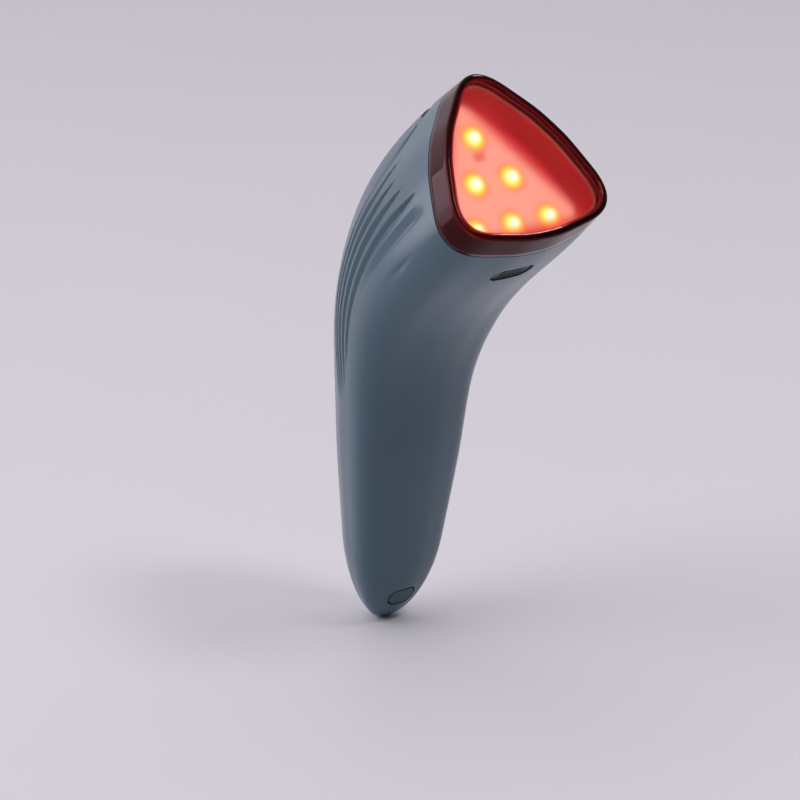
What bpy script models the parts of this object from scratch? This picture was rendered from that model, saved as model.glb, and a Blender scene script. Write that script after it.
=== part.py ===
"""Red light therapy wand: a curved one-piece housing with a three-cornered light head.

Lengths are metres, angles are degrees, +Z is up. The origin is the middle of the grip.
The wand is drawn as it is held: light face up and to the front, tail down.
The housing is a horn: a bent middle line with a three-lobed section swept along it.
A place on it is a station, the distance from the face along that line, and an angle
round it, which is 0 at the back, where the thumb rests, and 180 at the front.
"""
import math

import bmesh
import bpy
import numpy
from mathutils import Matrix, Vector

# Horn: the form of the whole wand
LENGTH = 0.1923
HEAD_RADIUS = 0.0278
HEAD_RUN = 0.0285
BEND_END = 0.118
BEND_ANGLE = 45.7
FACE_ANGLE = 38.9
RADIUS_SHARES = ((0.0, 1.0), (0.12, 1.04), (0.25, 1.021), (0.4, 0.930), (0.55, 0.785), (0.7, 0.697),
                 (0.85, 0.578))
LOBE_SHARES = ((3, 0.138), (6, 0.035), (9, 0.009))
SOFT_SHARES = (0.6, 0.4, 1.5)
TIP_SHARE = 0.85
TIP_POWER = 2.12
TIP_RING_SHARES = (0.12, 0.3, 0.48, 0.64, 0.77, 0.87, 0.94, 0.98, 0.996)
SPINE_STEPS = 400
LATHE_SIDES = 48

# Fits
WALL = 0.0022
FIT = 0.0003
OVERRUN = 0.004
WELD = 0.00001

# Grip flutes, seven down each flank
FLUTE_COUNT = 7
FLUTE_DEPTH = 0.0013
FLUTE_START = 0.015
FLUTE_END = 0.115
FLUTE_RISE = 0.008
FLUTE_FADE = 0.018
FLUTE_FIRST_ANGLES = (12.0, 80.0)
FLUTE_SPAN_ANGLES = (98.0, 34.0)
FLUTE_START_SHARES = (0.05, 0.14, 0.15, 0.10, 0.02, 0.0, 0.11)
FLUTE_END_SHARES = (1.0, 1.0, 0.98, 0.94, 0.86, 0.50, 0.34)
HOUSING_STEP = 0.0068
HOLLOW_STEP = 0.0102

# Lens cap
CAP_DEPTH = 0.0103
CAP_WINDOW = 0.002
CAP_WALL = 0.0022
CAP_ROUND = 0.001
CAP_ROUND_SHARE = 0.3
TONGUE_WALL = 0.0008
TONGUE_DEPTH = 0.0029
TONGUE_ROOT = 0.0029
CAP_ROOT_SHARES = (1.0, 0.38)

# Light well
WELL_TOP = 0.0043
WELL_TOP_INSET = 0.0026
WELL_WALL = 0.0009
WELL_SLOPE = 0.002

# Light board, lights and sensor
BOARD_FRONT = 0.0137
BOARD_THICK = 0.0016
LED_SIZE = 0.0034
LED_BASE = 0.0006
LED_DOME = 0.0013
LED_DOME_RISE = 0.0008
LED_TOP_SHARE = 0.608
LED_ROW_SHARE = 0.547
LED_PITCH_SHARE = 0.523
LED_TOP_ROW = LED_TOP_SHARE * HEAD_RADIUS
LED_ROW_PITCH = LED_ROW_SHARE * HEAD_RADIUS
LED_PITCH = LED_PITCH_SHARE * HEAD_RADIUS
SENSOR_SIZE = (0.0042, 0.003, 0.0009)
SENSOR_PLACE = (-0.0017, 0.0101)
SEAL_WIDTH = 0.0012

# Heat sink
SINK_THICK = 0.002
FIN_COUNT = 7
FIN_THICK = 0.0012
FIN_PITCH = 0.005
FIN_HEIGHT = 0.0054
FIN_INSET = 0.0075
CABLE_HOLE = 0.004
CABLE_HOLE_GAP = 0.0028
CABLE_HOLE_RISE = HEAD_RADIUS - CABLE_HOLE_GAP

# Chassis
RING_THICK = 0.003
RING_WIDTH = 0.0043
LEDGE_REACH = 0.0025
LEDGE_SIZE = (0.006, 0.003)
LEDGE_ANGLES = (35.0, 140.0)
PLATE_THICK = 0.002
PLATE_HALF = 0.010
CHASSIS_RISE = 0.0072
RAIL_HALF = 0.0045
RAIL_TAIL_GAP = 0.0243
RAIL_END = LENGTH - RAIL_TAIL_GAP
RAIL_TAIL_HALF = 0.0025
STOP_THICK = 0.0015
STOP_HALF = 0.0055
STOP_DROP = 0.005
BOSS_RADIUS = 0.002

# Screws
SCREW_RADIUS = 0.0008
SCREW_HEAD_RADIUS = 0.0016
SCREW_HEAD_HEIGHT = 0.0012
SCREW_CROWN_SHARE = 0.7
HEAD_SCREW_ANGLES = (60.0, 180.0, 300.0)
HEAD_SCREW_INSET = 0.0047

# Vents, at the front and the back of the head
VENT_SIZE = (0.0165, 0.0066)
FRONT_VENT_STATION = 0.0234
REAR_VENT_STATION = 0.0208
GRILLE_RECESS = 0.0005
GRILLE_THICK = 0.0012
LOUVRE_COUNT = 3
LOUVRE_WIDTH = 0.0008

# Blower
BLOWER_SIZE = 0.030
BLOWER_THICK = 0.0075
BLOWER_WALL = 0.0011
BLOWER_RIM = 0.002
INLET_RIM = 0.004
BLOWER_BORE = BLOWER_SIZE / 2 - BLOWER_RIM
BLOWER_INLET = BLOWER_BORE - INLET_RIM
BLOWER_OUTLET = (0.014, 0.0045)
EAR_GAP = 0.0059
EAR_CENTRE = HEAD_RADIUS - EAR_GAP
EAR_HALF = 0.0026
EAR_THICK = 0.0015
ROTOR_GAP = 0.0015
ROTOR_HUB_SHARE = 0.54
ROTOR_RADIUS = BLOWER_BORE - ROTOR_GAP
ROTOR_HUB = ROTOR_HUB_SHARE * ROTOR_RADIUS
BLADE_COUNT = 11
BLADE_SHARES = ((0.0, 0.0), (0.34, 1.0), (0.5, 1.0), (0.28, 0.0))
SHAFT_RADIUS = 0.00075

# Main board with its switch and lights, above the chassis plate
BUTTON_STATION = 0.070
MAIN_BOARD_HALF = 0.011
MAIN_BOARD_HEAD = 0.028
MAIN_BOARD_TAIL = 0.017
MAIN_BOARD_THICK = 0.0012
MAIN_BOARD_RISE = 0.003
BOARD_SCREW_SET = 0.0045
SWITCH_SIZE = (0.006, 0.006, 0.0032)
PLUNGER_RADIUS = 0.0015
PLUNGER_LENGTH = 0.0024
PLUNGER_RISE = 0.0014
BUTTON_TRAVEL = 0.001
BUTTON_SIZE = (0.011, 0.016)
BUTTON_PROUD = 0.0004
BUTTON_FLANGE = 0.001
PIPE_RADIUS = 0.001
PIPE_PLACE = 0.013
STATUS_LED_SIZE = (0.0016, 0.0012, 0.0007)
COIL_RADIUS = 0.004
COIL_HEIGHT = 0.0042
COIL_WAIST = 0.0027
COIL_FLANGE = 0.0008
COIL_PLACE = (-0.0035, 0.0185)
CHIP_SIZE = (0.007, 0.007, 0.001)
CHIP_PLACE = (0.0055, 0.0085)

# Battery, on the middle line of the straight grip
BATTERY_RADIUS = 0.00915
BATTERY_FRONT = 0.0943
BATTERY_TAIL_GAP = 0.033
BATTERY_LENGTH = LENGTH - BATTERY_FRONT - BATTERY_TAIL_GAP
BATTERY_ROUND = 0.0008
TAB_THICK = 0.0003
TAB_HALF = 0.003
TAB_REACH = 0.0065
PAD_SIZE = (0.008, 0.0034, 0.030)

# Charging port near the tail
PORT_TAIL_GAP = 0.0103
PORT_STATION = LENGTH - PORT_TAIL_GAP
PORT_TILT_ANGLE = 23.0
PORT_SIZE = (0.0108, 0.0068)
PORT_GAP = 0.0004
COVER_THICK = 0.0012
SOCKET_SIZE = (0.009, 0.0033, 0.0075)
SOCKET_SET = 0.0029
SOCKET_WALL = 0.0004
SOCKET_FLOOR = 0.0015
SOCKET_TONGUE = (0.0064, 0.0007)
CHARGE_BOARD_SIZE = (0.0105, 0.007, 0.001)
POST_SIZE = (0.004, 0.0025)

# Wires
WIRE_RADIUS = 0.0007
WIRE_STEPS = 3
LED_FACE_SHARES = ((0.0, 0.874, -1.115), (0.0, 0.773, -1.439), (0.0, 0.655, -1.691))
LED_BOARD_SHARES = ((0.0, 0.227, 0.863),)
BLOWER_FACE_SHARES = ((0.486, 0.360, -1.129), (0.486, 0.374, -1.241), (0.493, 0.450, -1.367),
                      (0.489, 0.594, -1.529), (0.450, 0.647, -1.709))
BLOWER_BOARD_SHARES = ((0.371, 0.227, 0.881), (0.353, 0.223, 0.701))
BATTERY_GRIP_SHARES = ((0.237, 0.0, 0.885), (0.281, 0.036, 1.007), (0.403, 0.144, 1.097))
BATTERY_BOARD_SHARES = ((0.424, 0.036, -0.701), (0.378, 0.187, -0.691), (0.331, 0.241, -0.594),
                        (0.317, 0.223, -0.450))
CHARGE_START_SHARES = (0.144, 0.036, 0.108)
CHARGE_TAIL_SHARES = ((0.137, 0.331, 0.288), (0.112, 0.442, 0.468), (0.079, 0.460, 0.719))
CHARGE_GRIP_SHARES = ((0.0, 0.457, -0.899), (0.0, 0.460, 0.0), (0.0, 0.504, 0.540), (0.0, 0.532, 0.863),
                      (-0.036, 0.525, 1.115))
CHARGE_BOARD_SHARES = ((-0.090, 0.248, -0.665), (-0.097, 0.223, -0.540))


def ease(share):
    """A smooth step from 0 to 1."""
    share = min(max(share, 0.0), 1.0)
    return share * share * (3.0 - 2.0 * share)


def lean(station):
    """How far the middle line leans at a station, in radians."""
    return math.radians(BEND_ANGLE) * ease((station - HEAD_RUN) / (BEND_END - HEAD_RUN))


def trace_spine():
    """Points of the middle line as (along the face's back edge, along its normal)."""
    step = LENGTH / SPINE_STEPS
    points = [Vector((0.0, 0.0))]
    for index in range(SPINE_STEPS):
        angle = lean((index + 0.5) * step)
        points.append(points[-1] - step * Vector((math.sin(angle), math.cos(angle))))
    return points


SPINE = trace_spine()


def spine(station):
    """The middle line's point at a station, in the face's frame."""
    place = min(max(station / LENGTH, 0.0), 1.0) * SPINE_STEPS
    index = min(int(place), SPINE_STEPS - 1)
    point = SPINE[index].lerp(SPINE[index + 1], place - index)
    point = point if station > 0.0 else Vector((0.0, -station))
    return Vector((0.0, point.x, point.y))


def trace_slopes():
    """The slopes of the radius law at its own points."""
    places = [place for place, _ in RADIUS_SHARES]
    radii = [radius for _, radius in RADIUS_SHARES]
    return [float(slope) for slope in numpy.gradient(radii, places)]


SLOPES = trace_slopes()


def mean_radius(station):
    """The section's mean radius, a smooth curve through the radius shares."""
    share = min(max(station / LENGTH, 0.0), 1.0)
    beyond = max(share - TIP_SHARE, 0.0)
    share -= beyond
    index = sum(1 for place, _ in RADIUS_SHARES[1:-1] if share >= place)
    (start, first), (end, last) = RADIUS_SHARES[index:index + 2]
    span = end - start
    t = (share - start) / span
    value = (2 * t ** 3 - 3 * t ** 2 + 1) * first + (3 * t ** 2 - 2 * t ** 3) * last
    value += (t ** 3 - 2 * t ** 2 + t) * span * SLOPES[index] + (t ** 3 - t ** 2) * span * SLOPES[index + 1]
    return HEAD_RADIUS * (value + beyond * SLOPES[-1])


def tip_scale(station, inset):
    """How much the rounded tail end draws the section in."""
    start = TIP_SHARE * LENGTH
    share = (station - start) / (LENGTH - inset - start)
    if share <= 0.0:
        return 1.0
    return max(1.0 - share ** TIP_POWER, 0.0) ** (1.0 / TIP_POWER)


def radius_and_slope(station, angle, inset):
    """The outer radius at an angle in radians, and its change with the angle."""
    base, fade, reach = SOFT_SHARES
    soft = base + fade * math.exp(-(station / LENGTH / reach) ** 2)
    radius = tip_scale(station, inset) * mean_radius(station)
    wave = 1.0 + sum(soft * share * math.cos(count * angle) for count, share in LOBE_SHARES)
    slope = -sum(soft * share * count * math.sin(count * angle) for count, share in LOBE_SHARES)
    return radius * wave, radius * slope


def section(station, angle, inset=0.0):
    """A point of the section (across, towards the back), moved inwards by the inset."""
    radius, slope = radius_and_slope(station, angle, inset)
    across = radius * math.sin(angle)
    back = radius * math.cos(angle)
    normal = Vector((across - slope * math.cos(angle), back + slope * math.sin(angle)))
    shrink = inset * min(1.0, 2.0 * tip_scale(station, inset))
    return Vector((across, back)) - shrink * normal.normalized()


def turned(station):
    """The rotation of a station's frame against the face's frame."""
    return Matrix.Rotation(-lean(station), 3, "X")


def place(station, angle, inset=0.0):
    """A point on the horn, in the face's frame."""
    across, back = section(station, angle, inset)
    return spine(station) + turned(station) @ Vector((across, back, 0.0))


def flute_angles(station):
    """The angle of the first flute and the step to the next one, in degrees."""
    share = min(max((station - FLUTE_START) / (FLUTE_END - FLUTE_START), 0.0), 1.0)
    first = FLUTE_FIRST_ANGLES[0] + share * (FLUTE_FIRST_ANGLES[1] - FLUTE_FIRST_ANGLES[0])
    span = FLUTE_SPAN_ANGLES[0] + share * (FLUTE_SPAN_ANGLES[1] - FLUTE_SPAN_ANGLES[0])
    return first, span / (FLUTE_COUNT - 1)


def flute_depth(station, index):
    """How deep one flute is at a station: it runs in and out, and is shallower where flutes are closer."""
    run = FLUTE_END - FLUTE_START
    start = FLUTE_START + FLUTE_START_SHARES[index] * run
    end = FLUTE_START + FLUTE_END_SHARES[index] * run
    depth = FLUTE_DEPTH * flute_angles(station)[1] / flute_angles(FLUTE_START)[1]
    return depth * ease((station - start) / FLUTE_RISE) * ease((end - station) / FLUTE_FADE)


def fluted_half(station, back_steps=4, front_steps=6):
    """Angles in degrees and insets down one side, from the back to the front."""
    first, step = flute_angles(station)
    edge = first - step / 2
    half = [(edge * index / back_steps, 0.0) for index in range(back_steps)]
    for index in range(FLUTE_COUNT):
        half.append((first + (index - 0.5) * step, 0.0))
        half.append((first + index * step, flute_depth(station, index)))
    edge = first + (FLUTE_COUNT - 0.5) * step
    half += [(edge + (180.0 - edge) * index / front_steps, 0.0) for index in range(front_steps + 1)]
    return half


def fluted_ring(station):
    """One ring of the fluted outer surface, in the face's frame."""
    half = fluted_half(station)
    both = half + [(-angle, depth) for angle, depth in reversed(half[1:-1])]
    return [place(station, math.radians(angle), depth) for angle, depth in both]


def plain_ring(station, inset, sides=LATHE_SIDES):
    """One smooth ring of the horn, in the face's frame."""
    return [place(station, math.tau * index / sides, inset) for index in range(sides)]


def stations_between(start, end, step):
    """Evenly spread stations, both ends included."""
    count = max(1, round((end - start) / step))
    return [start + (end - start) * index / count for index in range(count + 1)]


def tip_stations(inset):
    """Stations over the rounded tail end."""
    start = TIP_SHARE * LENGTH
    return [start + share * (LENGTH - inset - start) for share in TIP_RING_SHARES]


def make_collection(name):
    """A new collection in the scene."""
    collection = bpy.data.collections.new(name)
    bpy.context.scene.collection.children.link(collection)
    return collection


def make_material(name, color, roughness, metallic=0.0, clear=0.0, glow=0.0):
    """A Principled material."""
    material = bpy.data.materials.new(name)
    material.use_nodes = True
    shader = material.node_tree.nodes["Principled BSDF"]
    shader.inputs["Base Color"].default_value = (*color, 1.0)
    shader.inputs["Roughness"].default_value = roughness
    shader.inputs["Metallic"].default_value = metallic
    shader.inputs["Transmission Weight"].default_value = clear
    shader.inputs["Emission Color"].default_value = (*color, 1.0)
    shader.inputs["Emission Strength"].default_value = glow
    material.diffuse_color = (*color, 1.0)
    return material


def make_materials():
    """Every finish of the wand."""
    make_material("slate_plastic", (0.07, 0.115, 0.145), 0.3)
    make_material("red_lens", (0.45, 0.01, 0.012), 0.08, clear=0.8)
    make_material("reflector", (0.75, 0.08, 0.09), 0.25)
    make_material("white_mask", (0.9, 0.62, 0.58), 0.5)
    make_material("led_lens", (1.0, 0.35, 0.08), 0.2, glow=4.0)
    make_material("dark_plastic", (0.03, 0.03, 0.033), 0.45)
    make_material("soft_rubber", (0.06, 0.1, 0.125), 0.6)
    make_material("aluminium", (0.72, 0.73, 0.74), 0.35, 1.0)
    make_material("steel", (0.6, 0.6, 0.62), 0.3, 1.0)
    make_material("frame_plastic", (0.55, 0.56, 0.57), 0.5)
    make_material("circuit_board", (0.02, 0.16, 0.07), 0.4)
    make_material("copper", (0.75, 0.33, 0.16), 0.35, 1.0)
    make_material("cell_wrap", (0.05, 0.2, 0.5), 0.35)
    make_material("wire_red", (0.5, 0.02, 0.02), 0.45)
    make_material("clear_plastic", (0.85, 0.87, 0.88), 0.1, clear=0.9)


def make_empty(name, location=(0.0, 0.0, 0.0), angle=0.0, parent=None):
    """A guide turned about the wand's cross axis by an angle in radians."""
    empty = bpy.data.objects.new(name, None)
    empty.empty_display_size = HEAD_RADIUS
    PARTS.objects.link(empty)
    empty.parent = parent
    empty.location = location
    empty.rotation_euler = (angle, 0.0, 0.0)
    return empty


def make_object(name, mesh, material=None, parent=None, location=(0.0, 0.0, 0.0), rotation=(0.0, 0.0, 0.0)):
    """An object from a mesh: a sub-part if it has a material, otherwise a cutter or a stock piece."""
    thing = bpy.data.objects.new(name, mesh)
    thing.parent = parent
    thing.location = location
    thing.rotation_euler = rotation
    if material is None:
        CUTTERS.objects.link(thing)
        thing.hide_render = True
        thing.display_type = "WIRE"
    else:
        PARTS.objects.link(thing)
        thing.data.materials.append(bpy.data.materials[material])
    return thing


def combine(target, tool, operation="DIFFERENCE"):
    """Cuts one solid with another, joins them, or keeps what they share."""
    modifier = target.modifiers.new(tool.name, "BOOLEAN")
    modifier.operation = operation
    modifier.object = tool
    modifier.solver = "EXACT"
    return target


def evaluated_mesh(thing):
    """The object's mesh with its modifiers, in its own space."""
    bpy.context.view_layer.update()
    graph = bpy.context.evaluated_depsgraph_get()
    return bpy.data.meshes.new_from_object(thing.evaluated_get(graph), depsgraph=graph)


def smooth(mesh, angle=35.0):
    """Shades a mesh smooth, with its sharper edges kept."""
    mesh.shade_smooth()
    mesh.set_sharp_from_angle(angle=math.radians(angle))
    return mesh


def loft(name, rings, closed=False):
    """A solid through rings of equal counts: capped at both ends, or joined into a loop."""
    bm = bmesh.new()
    rows = [[bm.verts.new(point) for point in ring] for ring in rings]
    pairs = list(zip(rows, rows[1:] + rows[:1])) if closed else list(zip(rows, rows[1:]))
    for row, following in pairs:
        for index in range(len(row)):
            bm.faces.new((row[index - 1], row[index], following[index], following[index - 1]))
    if not closed:
        bm.faces.new(rows[0])
        bm.faces.new(rows[-1])
    bmesh.ops.recalc_face_normals(bm, faces=bm.faces)
    mesh = bpy.data.meshes.new(name)
    bm.to_mesh(mesh)
    bm.free()
    return smooth(mesh)


def box(name, size, centre=(0.0, 0.0, 0.0)):
    """A block of a given size about a centre."""
    bm = bmesh.new()
    bmesh.ops.create_cube(bm, size=1.0, matrix=Matrix.Translation(centre) @ Matrix.Diagonal((*size, 1.0)))
    mesh = bpy.data.meshes.new(name)
    bm.to_mesh(mesh)
    bm.free()
    return mesh


def boxes(name, sizes_and_centres):
    """Several separate blocks in one mesh."""
    bm = bmesh.new()
    for size, centre in sizes_and_centres:
        matrix = Matrix.Translation(centre) @ Matrix.Diagonal((*size, 1.0))
        bmesh.ops.create_cube(bm, size=1.0, matrix=matrix)
    mesh = bpy.data.meshes.new(name)
    bm.to_mesh(mesh)
    bm.free()
    return mesh


def rod(name, radius, bottom, top, sides=24):
    """A round bar along Z."""
    bm = bmesh.new()
    matrix = Matrix.Translation((0.0, 0.0, (bottom + top) / 2))
    bmesh.ops.create_cone(bm, cap_ends=True, segments=sides, radius1=radius, radius2=radius,
                          depth=top - bottom, matrix=matrix)
    mesh = bpy.data.meshes.new(name)
    bm.to_mesh(mesh)
    bm.free()
    return smooth(mesh)


def turned_solid(name, profile, sides=32):
    """A solid turned about Z from (radius, height) points that run down its outer side."""
    bm = bmesh.new()
    points = [bm.verts.new((radius, 0.0, height)) for radius, height in profile]
    for first, second in zip(points, points[1:]):
        bm.edges.new((first, second))
    stock = bpy.data.meshes.new(name + "_profile")
    bm.to_mesh(stock)
    bm.free()
    thing = make_object(name + "_profile", stock)
    screw = thing.modifiers.new("turn", "SCREW")
    screw.steps = sides
    screw.render_steps = sides
    screw.use_merge_vertices = True
    screw.merge_threshold = WELD
    mesh = evaluated_mesh(thing)
    bpy.data.objects.remove(thing)
    return smooth(mesh)


def plate(name, outline, bottom, top, holes=()):
    """A flat plate from an outline in X and Y, with its holes, between two heights."""
    curve = bpy.data.curves.new(name, "CURVE")
    curve.dimensions = "2D"
    curve.fill_mode = "BOTH"
    curve.extrude = (top - bottom) / 2
    for points in (outline, *holes):
        spline = curve.splines.new("POLY")
        spline.points.add(len(points) - 1)
        for point, (x, y) in zip(spline.points, points):
            point.co = (x, y, 0.0, 1.0)
        spline.use_cyclic_u = True
    thing = make_object(name + "_outline", curve)
    mesh = evaluated_mesh(thing)
    bpy.data.objects.remove(thing)
    bm = bmesh.new()
    bm.from_mesh(mesh)
    bmesh.ops.remove_doubles(bm, verts=bm.verts, dist=WELD)
    bmesh.ops.translate(bm, verts=bm.verts, vec=(0.0, 0.0, (bottom + top) / 2))
    bmesh.ops.recalc_face_normals(bm, faces=bm.faces)
    bm.to_mesh(mesh)
    bm.free()
    return smooth(mesh)


def head_outline(depth, inset, sides=LATHE_SIDES):
    """The head's outline at a depth behind the face."""
    return [tuple(section(depth, math.tau * index / sides, inset)) for index in range(sides)]


def round_outline(radius, centre=(0.0, 0.0), sides=16):
    """A circle as an outline."""
    turns = [math.tau * index / sides for index in range(sides)]
    return [(centre[0] + radius * math.cos(turn), centre[1] + radius * math.sin(turn)) for turn in turns]


def slot_outline(width, height, sides=8):
    """A slot with round ends, long across X."""
    reach = (width - height) / 2
    points = []
    for end, start in ((reach, -math.pi / 2), (-reach, math.pi / 2)):
        turns = [start + math.pi * index / sides for index in range(sides + 1)]
        points += [(end + height / 2 * math.cos(turn), height / 2 * math.sin(turn)) for turn in turns]
    return points


def oval_outline(width, height, sides=28):
    """An oval as an outline."""
    turns = [math.tau * index / sides for index in range(sides)]
    return [(width / 2 * math.cos(turn), height / 2 * math.sin(turn)) for turn in turns]


def wire_points(points):
    """A smooth curve through a wire's own points."""
    points = [Vector(point) for point in points]
    ends = [2 * points[0] - points[1], *points, 2 * points[-1] - points[-2]]
    path = [points[0]]
    for before, start, end, after in zip(ends, ends[1:], ends[2:], ends[3:]):
        for index in range(1, WIRE_STEPS + 1):
            t = index / WIRE_STEPS
            bend = (2 * before - 5 * start + 4 * end - after) * t ** 2
            twist = (3 * start - before - 3 * end + after) * t ** 3
            path.append((2 * start + (end - before) * t + bend + twist) / 2)
    return path


def make_wire(name, points):
    """A wire along a path, in the face's frame."""
    path = wire_points(points)
    curve = bpy.data.curves.new(name, "CURVE")
    curve.dimensions = "3D"
    curve.bevel_depth = WIRE_RADIUS
    curve.bevel_resolution = 2
    curve.use_fill_caps = True
    spline = curve.splines.new("POLY")
    spline.points.add(len(path) - 1)
    for point, place_on_path in zip(spline.points, path):
        point.co = (*place_on_path, 1.0)
    return make_object(name, curve, "wire_red", FACE)


def horn_solid(name, inset, stations, sides=LATHE_SIDES):
    """A stretch of the horn as a plain solid, moved inwards by an inset."""
    rings = [plain_ring(station, inset, sides) for station in stations]
    return make_object(name, loft(name, rings), None, FACE)


def station_frame(name, station, angle_more=0.0):
    """A guide on the middle line, turned with it and then by a further angle in radians."""
    return make_empty(name, spine(station), angle_more - lean(station), FACE)


def skin_patch(name, frame, outline, outer, inner, stations, bottom=0.0):
    """A piece of the horn's skin between two insets, cut out by an outline seen along the frame's Z."""
    mesh = plate(name, outline, bottom, 2 * HEAD_RADIUS)
    stock = make_object(name + "_stock", mesh, None, frame)
    combine(stock, horn_solid(name + "_top", outer, stations), "INTERSECT")
    combine(stock, horn_solid(name + "_floor", inner, stations))
    return stock


def finish_piece(stock, name, material, parent, pivot=(0.0, 0.0, 0.0)):
    """A finished sub-part from a worked stock piece, with its origin at a pivot in its parent's frame."""
    mesh = evaluated_mesh(stock)
    bpy.context.view_layer.update()
    mesh.transform(Matrix.Translation(-Vector(pivot)) @ parent.matrix_world.inverted() @ stock.matrix_world)
    mesh.materials.clear()
    return make_object(name, smooth(mesh), material, parent, pivot)


def make_lens_cap():
    """The red cap: window, deep skirt, and a tongue that plugs into the housing."""
    tongue = WALL + FIT
    root = tongue + TONGUE_WALL
    first_root, last_root = (share * TONGUE_ROOT for share in CAP_ROOT_SHARES)
    corner = CAP_ROUND_SHARE * CAP_ROUND
    profile = [(0.0, CAP_ROUND), (corner, corner), (CAP_ROUND, 0.0), (CAP_DEPTH, 0.0)]
    profile += [(CAP_DEPTH, tongue), (CAP_DEPTH + TONGUE_DEPTH, tongue), (CAP_DEPTH + TONGUE_DEPTH, root)]
    profile += [(CAP_DEPTH - last_root, root), (CAP_DEPTH - first_root, CAP_WALL), (CAP_WINDOW, CAP_WALL)]
    rings = [plain_ring(depth, inset) for depth, inset in profile]
    return make_object("lens_cap", loft("lens_cap", rings), "red_lens", FACE)


def make_light_well():
    """The bright funnel between the window and the light board."""
    bottom = BOARD_FRONT - FIT
    low = WELL_TOP_INSET + WELL_SLOPE
    profile = [(WELL_TOP, WELL_TOP_INSET), (bottom, low), (bottom, low + WELL_WALL)]
    profile.append((WELL_TOP, WELL_TOP_INSET + WELL_WALL))
    rings = [plain_ring(depth, inset) for depth, inset in profile]
    return make_object("light_well", loft("light_well", rings, closed=True), "reflector", FACE)


def make_light_board():
    """The light board, its six lights in rows of one, two and three, its sensor and its seal."""
    inset = WALL + FIT + SEAL_WIDTH + FIT
    back = -BOARD_FRONT - BOARD_THICK
    outline = head_outline(BOARD_FRONT, inset)
    make_object("led_board", plate("led_board", outline, back, -BOARD_FRONT), "white_mask", FACE)
    seal_hole = head_outline(BOARD_FRONT, inset - FIT)
    seal = plate("lens_seal", head_outline(BOARD_FRONT, WALL + FIT), back,
                 -CAP_DEPTH - TONGUE_DEPTH - FIT, [seal_hole])
    make_object("lens_seal", seal, "soft_rubber", FACE)
    base = box("led_stock", (LED_SIZE, LED_SIZE, LED_BASE), (0.0, 0.0, LED_BASE / 2))
    stock = make_object("led_stock", base)
    dome = [(LED_DOME * math.sin(turn), LED_BASE + LED_DOME_RISE * math.cos(turn))
            for turn in [math.pi / 2 * index / 4 for index in range(5)]]
    dome += [(LED_DOME, LED_BASE / 2), (0.0, LED_BASE / 2)]
    combine(stock, make_object("led_dome", turned_solid("led_dome", dome, 16)), "UNION")
    mesh = evaluated_mesh(stock)
    mesh.materials.clear()
    smooth(mesh)
    bpy.data.objects.remove(stock)
    places = [(row, across - row / 2) for row in range(3) for across in range(row + 1)]
    for index, (row, across) in enumerate(places):
        spot = (across * LED_PITCH, LED_TOP_ROW - row * LED_ROW_PITCH, -BOARD_FRONT + FIT)
        make_object(f"red_led_{index + 1}", mesh.copy(), "led_lens", FACE, spot)
    spot = (*SENSOR_PLACE, -BOARD_FRONT + FIT + SENSOR_SIZE[2] / 2)
    sensor = make_object("skin_sensor", box("skin_sensor", SENSOR_SIZE), "dark_plastic", FACE, spot)
    edge = sensor.modifiers.new("edge", "BEVEL")
    edge.width = SENSOR_SIZE[2] / 4
    edge.segments = 2


def sink_depths():
    """The depths of the heat sink's front, its flange's back and its fin tips."""
    front = BOARD_FRONT + BOARD_THICK + FIT
    return front, front + SINK_THICK, front + SINK_THICK + FIN_HEIGHT


def make_heat_sink():
    """The flange behind the light board with its fins."""
    front, flange, tips = sink_depths()
    inset = WALL + FIT * 2
    sink = plate("sink_stock", head_outline(front, inset), -flange, -front)
    sink = make_object("sink_stock", sink, None, FACE)
    outline = head_outline(flange, FIN_INSET, LATHE_SIDES // 2)
    fins = plate("sink_fins", outline, -tips, -flange + SINK_THICK / 2)
    fin_block = make_object("sink_fins", fins, None, FACE)
    gap = FIN_PITCH - FIN_THICK
    count = FIN_COUNT + 1
    edges = [(index - (count - 1) / 2) * FIN_PITCH for index in range(count)]
    size = (gap, 4 * HEAD_RADIUS, FIN_HEIGHT)
    slots = boxes("sink_slots", [(size, (edge, 0.0, -flange - FIN_HEIGHT / 2)) for edge in edges])
    combine(fin_block, make_object("sink_slots", slots, None, FACE))
    side = HEAD_RADIUS * 2
    for sign in (-1, 1):
        edge = sign * (edges[-1] + side / 2)
        trim = box("sink_side", (side, 2 * side, FIN_HEIGHT), (edge, 0.0, -flange - FIN_HEIGHT / 2))
        combine(fin_block, make_object("sink_side", trim, None, FACE))
    low = plate_underside(tips) - 2 * FIT
    size = (2 * (PLATE_HALF + FIT), side, FIN_HEIGHT)
    trim = box("sink_notch", size, (0.0, low + side / 2, -flange - FIN_HEIGHT / 2))
    combine(fin_block, make_object("sink_notch", trim, None, FACE))
    combine(sink, fin_block, "UNION")
    hole = rod("sink_hole", CABLE_HOLE / 2, -tips - OVERRUN, OVERRUN, 16)
    combine(sink, make_object("sink_hole", hole, None, FACE, (0.0, CABLE_HOLE_RISE, 0.0)))
    for angle in HEAD_SCREW_ANGLES:
        combine(sink, head_screw_hole(angle))
    return finish_piece(sink, "heat_sink", "aluminium", FACE)


def plate_underside(depth):
    """How far back the chassis plate's underside is at a depth behind the face."""
    under = MAIN_POINT - turned(BUTTON_STATION) @ Vector((0.0, PLATE_THICK / 2, 0.0))
    return under.y + (-depth - under.z) * math.tan(lean(BUTTON_STATION))


def head_screw_place(angle):
    """Where a head screw stands, in the face's frame."""
    across, back = section(ring_depths()[0], math.radians(angle), HEAD_SCREW_INSET)
    return across, back, 0.0


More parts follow.
